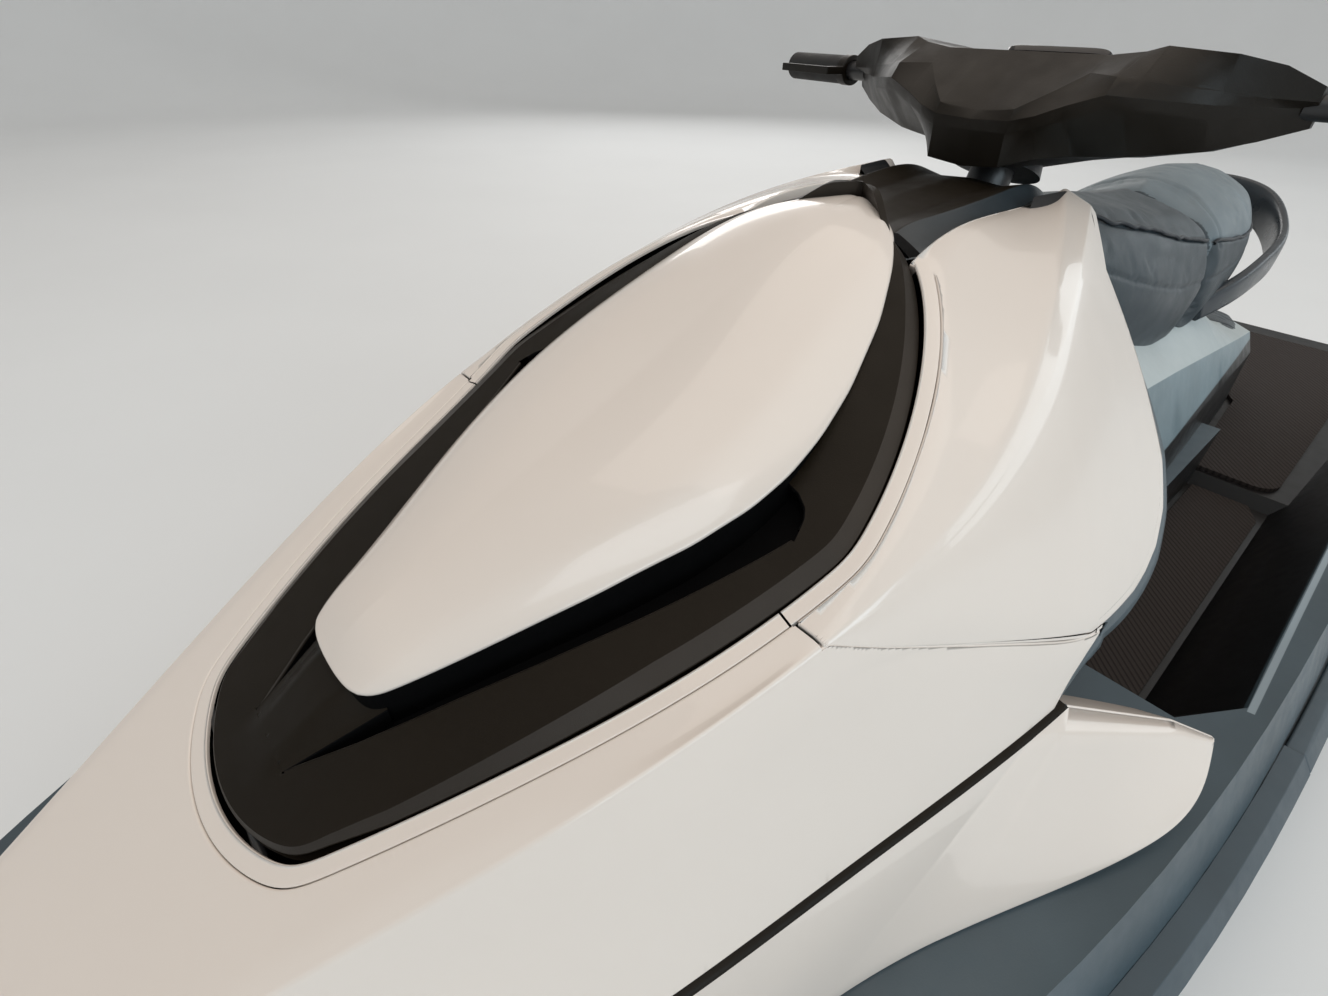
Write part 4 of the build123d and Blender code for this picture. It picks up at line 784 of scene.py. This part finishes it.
# Front lid: leaf panel, then the bezel round it with its finger slots
LEAF_TABLE = [
    (405, 0, 746.5, 12, 745, 22, 739),
    (440, 0, 742, 46, 738, 66, 731),
    (524, 0, 714, 84, 706, 120, 689),
    (661, 0, 648, 112, 640, 153, 612),
    (800, 0, 586, 84, 578, 115, 558),
    (905, 0, 538, 50, 530, 70, 517),
    (935, 0, 521, 45, 514, 57, 505),
    (956, 0, 501, 36, 500, 44, 496),
]
LEAF_OUTLINE = mm([(956, 0), (955.7, 14), (954.2, 30), (950.5, 43.5), (942.5, 53), (926, 61.5),
                   (900, 72.5), (800, 115), (735, 139), (690, 150), (655, 153), (620, 150), (580, 141),
                   (524, 120), (480, 95), (440, 66), (420, 42), (409, 20), (406, 0)])
LEAF_RIM_ROUND, LEAF_RIM_TALL, BLOCK_IN = 0.0025, 0.0045, 0.004
leaf_half = even(LEAF_OUTLINE, 0.004)
leaf_mirror = leaf_half[::-1] * (1, -1)
leaf_ring = smooth_line(np.vstack([leaf_mirror[:-1], leaf_half, leaf_mirror[1:]]), 8)
leaf_line = leaf_ring[len(leaf_half) - 1:2 * len(leaf_half) - 1]
leaf = Shell(LEAF_TABLE, 3, {1: tapered((0.4, 0.004), (0.7, 0.005), (0.95, 0.003))},
             {0: tapered((0.4, 0.001), (0.7, 0.004), (0.956, 0.001)),
              1: tapered((0.4, 0.001), (0.7, 0.003), (0.956, 0.001))})


def on_leaf(plan):
    """Points of the leaf's top over plan points, and its normals there."""
    x, y = plan[..., 0], plan[..., 1]
    crease, edge = leaf.points[1][0](x), leaf.points[2][0](x)
    outside = 1 + (y - crease) / np.maximum(edge - crease, 1e-4)
    t = np.clip(np.where(y < crease, y / np.maximum(crease, 1e-4), outside), 0, 2)
    points = leaf(x, t)
    points[..., 1] = y
    return points, up_facing(leaf.normal(x, t))


leaf_spine = line_of(np.clip(leaf_line[:, 0], 0.44, 0.905), 0)
leaf_grid, leaf_normals = on_leaf(across(leaf_spine, grown(leaf_line, -LEAF_RIM_ROUND), 34))
leaf_rim = rolled_edge(leaf_grid[-1], leaf_grid[-2], leaf_normals[-1], LEAF_RIM_ROUND, LEAF_RIM_TALL)
lid_leaf = build("lid_leaf", [leaf_grid, leaf_rim], white, "front_lid")
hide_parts("lid_panel")

# The bezel's face falls to the hood in a chamfer and rises behind the slots and at the nose
LIP_LINE = mm([(1006, 32), (960, 58.5), (922, 77.5), (850, 112), (783, 141.5), (735, 161), (698, 175.5),
               (680, 182)])
SLOT_IN = mm([(1006, 32), (985, 38.5), (960, 46), (935, 53.5)])
SLOT_END = mm([(100, 647.5), (145, 647.5), (160, 650.5), (172, 657), (179, 666), (182, 680), (300, 680)])
SLOT_TIP_X, SLOT_AFT_X, SLOT_IN_X, NOSE_X = 1.006, 0.68, 0.935, 0.9535
SLOT_DEEP, FACE_UP, NOSE_RISE, BEHIND_RISE, BEZEL_DEEP = 0.014, 0.005, 0.0135, 0.007, 0.0165
TIP_PLAY = 0.0005
chamfer_wide = tapered((0.398, 0.006), (0.5, 0.011), (0.8, 0.013), (0.98, 0.006), (1.03, 0.002),
                       (1.05, 0.001))
face_up = tapered((0.398, 0.003), (0.5, FACE_UP), (0.9, FACE_UP), (1.02, 0.003), (1.05, 0.002))
nose_play = tapered((0.965, 0.0), (1.0, 0.0028), (1.05, 0.0028))
wall_lift = tapered((0.985, 0.0), (1.025, 0.0115))


def smooth_step(value):
    u = np.clip(value, 0, 1)
    return u * u * (3 - 2 * u)


def bezel_height(plan):
    x, y = plan[..., 0], plan[..., 1]
    share = y / along_x(SLOT_IN, np.minimum(x, SLOT_TIP_X))
    rise = NOSE_RISE * smooth_step((1.032 - x) / (1.032 - NOSE_X)) * (1 - smooth_step((share - 0.4) / 0.6))
    from_leaf = np.maximum(y - along_x(leaf_line, x), 0)
    behind = BEHIND_RISE * smooth_step((0.655 - x) / 0.08) * (1 - smooth_step(from_leaf / 0.045))
    return LID_TOP(x) + face_up(x) + rise + behind


def bezel_face(plan):
    """Points on the bezel's face over plan points, and the normals there."""
    step = 0.0015
    slope_x, slope_y = ((bezel_height(plan + shift) - bezel_height(plan - shift)) / (2 * step)
                        for shift in (np.array((step, 0)), np.array((0, step))))
    normal = unit(np.stack([-slope_x, -np.clip(slope_y, -0.5, 0.5), np.ones_like(slope_x)], -1))
    return np.concatenate([plan, bezel_height(plan)[..., None]], -1), normal


play = nose_play(LID_OUTLINE[:, 0])
bezel_edge = grown(LID_OUTLINE, -play)
crease_line = grown(LID_OUTLINE, -play - chamfer_wide(LID_OUTLINE[:, 0]))
bezel_edge[[0, -1], 1] = 0
crease_line[[0, -1], 1] = 0
crease_x = crease_line[:, 0]
FACE_STEPS = 20
at_tip = line_of([SLOT_TIP_X], along_x(crease_line[crease_x > 0.9], SLOT_TIP_X))
nose_part = np.vstack([crease_line[crease_x > SLOT_TIP_X + TIP_PLAY], at_tip])
nose_grid, _ = bezel_face(across(nose_part * (1, 0), nose_part, FACE_STEPS))
is_ahead = (bezel_edge[:, 0] >= SLOT_AFT_X) & (crease_x < SLOT_TIP_X - TIP_PLAY)
ahead = np.vstack([at_tip, crease_line[is_ahead]])
ahead_in = line_of(ahead[:, 0], along_x(LIP_LINE, ahead[:, 0]))
ahead_grid, ahead_normals = bezel_face(across(ahead_in, ahead, FACE_STEPS))

slot_x = np.linspace(SLOT_IN_X, SLOT_TIP_X, 30)
slot_inner = line_of(slot_x, along_x(SLOT_IN, slot_x))
centre_grid, _ = bezel_face(across(slot_inner * (1, 0), slot_inner, 26))

behind = crease_line[bezel_edge[:, 0] < SLOT_AFT_X + 0.004]
behind_in = line_of(behind[:, 0], np.maximum(along_x(leaf_line, behind[:, 0]) - 0.006, 0))
behind_in[behind[:, 0] < 0.409, 1] = 0
behind_plan = across(behind_in, behind, FACE_STEPS)
fade = smooth_step((behind_plan[..., 0] - 0.6) / 0.08)
behind_plan[..., 0] += (np.interp(behind_plan[..., 1], *SLOT_END.T) - SLOT_AFT_X) * fade
behind_grid, behind_normals = bezel_face(behind_plan)

edge_points = at_height(bezel_edge, 0)
crease_points, _ = bezel_face(crease_line)
chamfer_grid = across(crease_points, edge_points, (0, 0.12, 0.5, 0.88, 1))
chamfer_normal = unit(up_facing(np.cross(np.gradient(edge_points, axis=0), edge_points - crease_points)))
outer_wall = rolled_edge(edge_points, crease_points, chamfer_normal, 0.0008, 0.0155)
outer_wall[-1, :, 2] += wall_lift(outer_wall[-1, :, 0])
in_slot = ahead[:, 0] <= SLOT_TIP_X - 0.002
lip = ahead_grid[0][in_slot], ahead_grid[2][in_slot], ahead_normals[0][in_slot]
lip_wall = rolled_edge(*lip, 0.0012, SLOT_DEEP + 0.004)
lip_round = rolled_edge(*lip, 0.0016, 0.0008)
inner_wall = rolled_edge(centre_grid[-1], centre_grid[-3], np.array((0, 0, 1.0)), 0.0008, SLOT_DEEP + 0.018)
at_end = behind_plan[:, 0, 1] < 0.1815
end_wall = rolled_edge(behind_grid[:, 0][at_end], behind_grid[:, 1][at_end], behind_normals[:, 0][at_end],
                       0.0015, SLOT_DEEP + 0.004)
under_spine = at_height(line_of(np.clip(bezel_edge[:, 0], 0.43, 1.03), 0), BEZEL_DEEP)
under_grid = across(under_spine, at_height(bezel_edge, BEZEL_DEEP), 12)
under_grid[..., 2] += wall_lift(under_grid[..., 0])
bezel_grids = [nose_grid, ahead_grid, centre_grid, behind_grid, outer_wall, under_grid]
bezel = build("lid_bezel_moulding", bezel_grids, black, "front_lid")
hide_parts("lid_bezel")
# Painted highlight: the chamfer and the rounded slot lips take the lighter black
build("lid_bezel_painted_highlight", [chamfer_grid, lip_round], painted_highlight_black, "front_lid")

# Floor of the slots and the dark wall under the leaf's rim, near black as painted shade
floor_x = np.linspace(0.64, SLOT_TIP_X - 0.002, 90)
floor_out = line_of(floor_x, along_x(LIP_LINE, floor_x) + 0.003)
at_leaf, at_nose = along_x(leaf_line, floor_x) - 0.008, along_x(SLOT_IN, floor_x) - 0.002
floor_in = line_of(floor_x, np.where(floor_x < SLOT_IN_X, at_leaf, at_nose))
slot_floor = at_height(across(floor_in, floor_out, 8), SLOT_DEEP - 0.001)
block_line = grown(leaf_line, -BLOCK_IN)
block_top, _ = on_leaf(block_line)
leaf_under = across(block_top - (0, 0, 0.0065), leaf_rim[-1], 3)
block_wall = [block_top - (0, 0, 0.004), at_height(block_line, SLOT_DEEP)]
build("lid_slots", [slot_floor, block_wall, leaf_under, lip_wall, inner_wall, end_wall],
      painted_shade_black, "front_lid")

# Seat, as upholstery that is filled, sewn and piped: rows of stations, and lines near the surface
CUSHIONS = {
    "seat_front": {
        "rows": [(-416, 0, 670, 132, 630, 162, 548, 140, 446, 0, 440),
                 (-300, 0, 670, 126, 638, 157, 560, 140, 448, 0, 442),
                 (-120, 0, 689, 102, 668, 134, 600, 120, 458, 0, 452),
                 (40, 0, 703, 48, 687, 74, 640, 62, 530, 0, 522)],
        "rounding": (0.03, 0.045, 0.012), "end_round": 0.03, "swell_cap": 0.005, "voxel": 0.006,
        "seams": [[(20, 75, 640), (-100, 135, 606), (-250, 157, 572), (-412, 168, 552)]],
        "piping": [(10, 20, 700), (-30, 50, 697), (-80, 88, 690), (-170, 112, 672), (-283, 130, 640),
                   (-412, 140, 615)]},
    "seat_rear": {
        "rows": [(-856, 0, 662, 78, 631, 94, 588, 78, 547, 0, 543),
                 (-640, 0, 690, 120, 641, 149, 560, 133, 454, 0, 448),
                 (-427, 0, 676, 131, 632, 162, 548, 140, 446, 0, 440)],
        "rounding": (0.034, 0.045, 0.012), "end_round": 0.03, "swell_cap": 0.005, "voxel": 0.006,
        "seams": [[(-470, 0, 690), (-466, 70, 682), (-458, 120, 650), (-452, 150, 600)],
                  [(-432, 168, 548), (-640, 155, 560), (-850, 100, 588)]],
        "piping": [(-432, 140, 610), (-560, 136, 592), (-700, 122, 585), (-850, 94, 588)]},
    "rear_pad": {
        "rows": [(-1026, 0, 352, 112, 351, 128, 347, 130, 337, 0, 335),
                 (-900, 0, 363, 152, 362, 170, 358, 174, 348, 0, 346),
                 (-802, 0, 367, 150, 366, 168, 362, 172, 352, 0, 350)],
        "rounding": (0.006, 0.006, 0.003), "end_round": 0.012, "swell_cap": 0.003, "voxel": 0.004,
        "seams": [[(-870, 0, 366), (-872, 90, 366), (-880, 168, 362)],
                  [(-960, 0, 360), (-962, 90, 360), (-965, 150, 356)]],
        "piping": None},
}


def cushion_grid(rows, rounding, end_round):
    """Closed rings of points round a cushion, drawn in at both rounded ends."""
    form = Shell(rows, 5, {i + 1: tapered((0, radius)) for i, radius in enumerate(rounding)})
    low, high = mm(rows)[[0, -1], 0]
    ends = end_round * (1 - np.sin(np.linspace(0, math.pi / 2, 9)[::-1]))
    xs = np.unique(np.r_[low + ends, np.linspace(low + end_round, high - end_round, 40), high - ends])
    half = form(xs[:, None], np.linspace(0, 4, 61))
    ring = np.concatenate([half, half[:, -2:0:-1] * (1, -1, 1)], 1)
    middle = (ring.max(1, keepdims=True) + ring.min(1, keepdims=True)) / 2
    depth = np.clip(np.minimum(xs - low, high - xs) / end_round, 0, 1)
    pull = end_round * (1 - np.sqrt(np.clip(1 - (1 - depth) ** 2, 0, 1)))
    offset = ring - middle
    size = np.abs(offset).max(1, keepdims=True)
    share = 1 - pull[:, None, None] / np.maximum(size, end_round)
    ring[..., 1:] = (middle + offset * share)[..., 1:]
    return ring


def closed_mesh(name, ring):
    index = index_grid(ring)
    ends = [index[0].tolist(), index[-1][::-1].tolist()]
    mesh = new_mesh(name, ring, quads(np.concatenate([index, index[:, :1]], 1)) + ends)
    work = bmesh.new()
    work.from_mesh(mesh)
    bmesh.ops.recalc_face_normals(work, faces=work.faces)
    work.to_mesh(mesh)
    work.free()
    return mesh


def shaped(obj):
    """Applies the object's modifiers to its mesh."""
    mesh = bpy.data.meshes.new_from_object(obj.evaluated_get(bpy.context.evaluated_depsgraph_get()))
    obj.modifiers.clear()
    obj.data = mesh


def vertex_values(mesh, key):
    flat = np.zeros(len(mesh.vertices) * 3)
    mesh.vertices.foreach_get(key, flat)
    return flat.reshape(-1, 3)


def filled(obj, voxel, cap, pressure=4.0, frames=20):
    """Remeshes a cushion evenly and lets cloth swell under pressure, within a cap on each point's move."""
    remesh = obj.modifiers.new("remesh", "REMESH")
    remesh.mode = "VOXEL"
    remesh.voxel_size = voxel
    shaped(obj)
    before = vertex_values(obj.data, "co")
    held = obj.vertex_groups.new(name="held")
    floor_z = before[:, 2].min() + 0.012
    held.add([i for i, z in enumerate(before[:, 2]) if z < floor_z], 1.0, "REPLACE")
    cloth = obj.modifiers.new("cloth", "CLOTH")
    cloth.settings.use_pressure = True
    cloth.settings.uniform_pressure_force = pressure
    cloth.settings.vertex_group_mass = "held"
    cloth.settings.effector_weights.gravity = 0
    for at in range(1, frames + 1):
        scene.frame_set(at)
    shaped(obj)
    scene.frame_set(1)
    move = vertex_values(obj.data, "co") - before
    length = np.linalg.norm(move, axis=1, keepdims=True)
    after = before + move * np.minimum(1, cap / np.maximum(length, 1e-9))
    obj.data.vertices.foreach_set("co", after.reshape(-1))
    finer = obj.modifiers.new("finer", "SUBSURF")
    finer.levels = finer.render_levels = 1
    shaped(obj)
    obj.vertex_groups.clear()


def near_line(points, line):
    """Distance from each point to a polyline."""
    best = np.full(len(points), 9.0)
    for a, b in zip(line[:-1], line[1:]):
        run = b - a
        share = np.clip(((points - a) @ run) / (run @ run), 0, 1)
        best = np.minimum(best, np.linalg.norm(points - a - share[:, None] * run, axis=1))
    return best


def sewn(obj, line, width=0.008, depth=0.003):
    """Presses a seam into a cushion along a line."""
    points, normals = vertex_values(obj.data, "co"), vertex_values(obj.data, "normal")
    near = np.clip(1 - near_line(points, line) / width, 0, 1) ** 2
    obj.data.vertices.foreach_set("co", (points - normals * (depth * near)[:, None]).reshape(-1))
    obj.data.update()


def pressed(obj, line, step=0.004):
    """The line laid onto the object's surface, and the normals there."""
    tree = BVHTree.FromObject(obj, bpy.context.evaluated_depsgraph_get())
    found = [tree.find_nearest(Vector(p)) for p in even(line, step)]
    return np.array([f[0] for f in found]), np.array([f[1] for f in found])


def swept(line, ring, side_size, over_size):
    """A grid of points round a line, from a ring's two coordinates and their sizes."""
    run = unit(np.gradient(line, axis=0))
    side = unit(np.cross(run, (0.0, 0.0, 1.0)))
    over = np.cross(side, run)
    ring_side, ring_over = (values[:, None, None] for values in ring)
    return line + ring_side * side_size * side + ring_over * (over_size * over)


def curve_through(points, step=0.004):
    """A smooth line in space through the given points."""
    along = lengths_along(points)
    at = np.linspace(0, along[-1], max(4, int(along[-1] / step)))
    return np.stack([spline_through(along, column)(at) for column in points.T], -1)


PIPING_UP, PIPING_RADIUS = 0.0022, 0.003
soft_pieces = {}
for name, plan in CUSHIONS.items():
    ring = cushion_grid(plan["rows"], plan["rounding"], plan["end_round"])
    cover = placed(name + "_cover", closed_mesh(name + "_cover", ring))
    filled(cover, plan["voxel"], plan["swell_cap"])
    seams = [curve_through(mm(line)) for line in plan["seams"] + [plan["piping"]] if line]
    for line in seams:
        for side in (1, -1):
            sewn(cover, pressed(cover, line * (1, side, 1))[0])
    mesh = cover.data
    mesh.materials.clear()
    mesh.materials.append(seat_dark.mat)
    mesh.materials.append(seat_painted_reflection.mat)
    smooth_faces(mesh)
    # The rear seat's top inside its piping takes the lighter vinyl, a painted reflection
    if name == "seat_rear":
        border, _ = pressed(cover, curve_through(mm(plan["piping"])), 0.002)
        for face in mesh.polygons:
            half, level = (np.interp(-face.center.x, -border[:, 0], border[:, i]) for i in (1, 2))
            inside = face.center.x < border[0, 0] + 0.004 and abs(face.center.y) < half + 0.0005
            face.material_index = int(inside and face.center.z > level - 0.03 and face.normal.z > -0.2)
    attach(cover, "craft")
    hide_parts(name)
    soft_pieces[name] = cover
piping = []
for name in ("seat_front", "seat_rear"):
    laid, out = pressed(soft_pieces[name], curve_through(mm(CUSHIONS[name]["piping"])))
    line = smooth_line(laid + out * PIPING_UP, 8)
    piping.append(swept(line, squared_ring(9, 1, 1), PIPING_RADIUS, PIPING_RADIUS))
build("seat_piping", piping, piping_dark)

# Grab handle: a broad strap from under the seat round behind it
STRAP_THICK = 0.0095
strap_half = mm([(-505, 143, 478), (-560, 164, 500), (-680, 176, 522), (-800, 170, 540), (-885, 140, 564),
                 (-945, 85, 592), (-968, 0, 602)])
strap = curve_through(np.vstack([strap_half, strap_half[-2::-1] * (1, -1, 1)]), 0.008)
strap_share = np.arange(len(strap)) / len(strap)
strap_wide = np.interp(strap_share, [0, 0.2, 0.5, 0.8, 1], [0.022, 0.031, 0.036, 0.031, 0.022])
strap_grid = swept(strap, squared_ring(33, 0.6, 0.5), STRAP_THICK, strap_wide[:, None])
strap_ends = [np.broadcast_arrays(strap_grid[:, i], strap[i]) for i in (0, -1)]
grab_strap = build("grab_strap", [strap_grid] + strap_ends, handle_grey, both_sides=False)
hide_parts("grab_handle")

# Stage: a pale floor at the waterline, soft light and the camera
pale_floor = Finish("pale_floor", (0.76, 0.785, 0.8), 0.6, 0.2)
pale_floor.drift(1.2, 0.985, 1.01, 4.0)
FLOOR_FLAT, FLOOR_BEND, WALL_TOP = 8.0, 3.0, 7.0
profile = [(0.0, 0.0), (2.0, 0.0), (5.0, 0.0)]
profile += [(FLOOR_FLAT + FLOOR_BEND * math.sin(a), FLOOR_BEND * (1 - math.cos(a)))
            for a in np.linspace(0, math.pi / 2, 17)]
profile.append((FLOOR_FLAT + FLOOR_BEND, WALL_TOP))
around = np.linspace(0, 2 * math.pi, 97)
backdrop = np.array([[(radius * math.cos(a), radius * math.sin(a), z) for a in around]
                     for radius, z in profile])
floor_mesh = new_mesh("floor", backdrop, quads(index_grid(backdrop), flip=True))
smooth_faces(floor_mesh)
floor_mesh.materials.append(pale_floor.mat)
placed("floor", floor_mesh)

world = bpy.data.worlds.new("studio")
world.use_nodes = True
scene.world = world
background = world.node_tree.nodes["Background"]
background.inputs["Color"].default_value = (0.82, 0.765, 0.715, 1)
background.inputs["Strength"].default_value = 0.62

# Soft lights: name, place, target, size, power and colour
LIGHTS = [
    ("window", (2.0, 6.5, 2.6), (0.4, 0, 0.4), (7.0, 2.4), 165, (0.74, 0.9, 1.0)),
    ("ceiling", (-0.5, 0, 5.6), (0, 0, 0), (7.0, 5.0), 98, (1.0, 0.88, 0.77)),
    ("aft_window", (-6.5, 4.8, 3.0), (0.3, 0.2, 0.5), (8.5, 2.4), 85, (0.88, 0.96, 1.0)),
    ("fore_window", (2.7, 2.1, 4.5), (0.8, 0.1, 0.55), (3.2, 1.6), 26, (0.84, 0.94, 1.0)),
    ("far_side", (-4.5, -5.0, 3.2), (0, 0, 0.4), (5.0, 2.0), 95, (1.0, 0.98, 0.96)),
]
for name, place, target, size, power, color in LIGHTS:
    light = bpy.data.lights.new(name, "AREA")
    light.shape = "RECTANGLE"
    light.size, light.size_y = size
    light.energy = power
    light.color = color
    lamp = placed(name, light)
    lamp.location = place
    lamp.rotation_euler = (Vector(target) - Vector(place)).to_track_quat("-Z", "Y").to_euler()

CAMERA_PLACE = (0.974, 0.376, 0.873)
CAMERA_RIGHT = (-0.7586, 0.6511, 0.0251)
CAMERA_UP = (-0.3719, -0.4643, 0.8038)
CAMERA_BACK = (0.535, 0.6004, 0.5943)
camera_data = bpy.data.cameras.new("camera")
camera_data.sensor_width = 36
camera_data.lens = 17.467
camera_data.clip_start = 0.02
camera_data.clip_end = 60
camera = placed("camera", camera_data)
turn = Matrix((CAMERA_RIGHT, CAMERA_UP, CAMERA_BACK)).transposed().to_4x4()
camera.matrix_world = Matrix.Translation(CAMERA_PLACE) @ turn
scene.camera = camera
scene.view_settings.view_transform = "Standard"
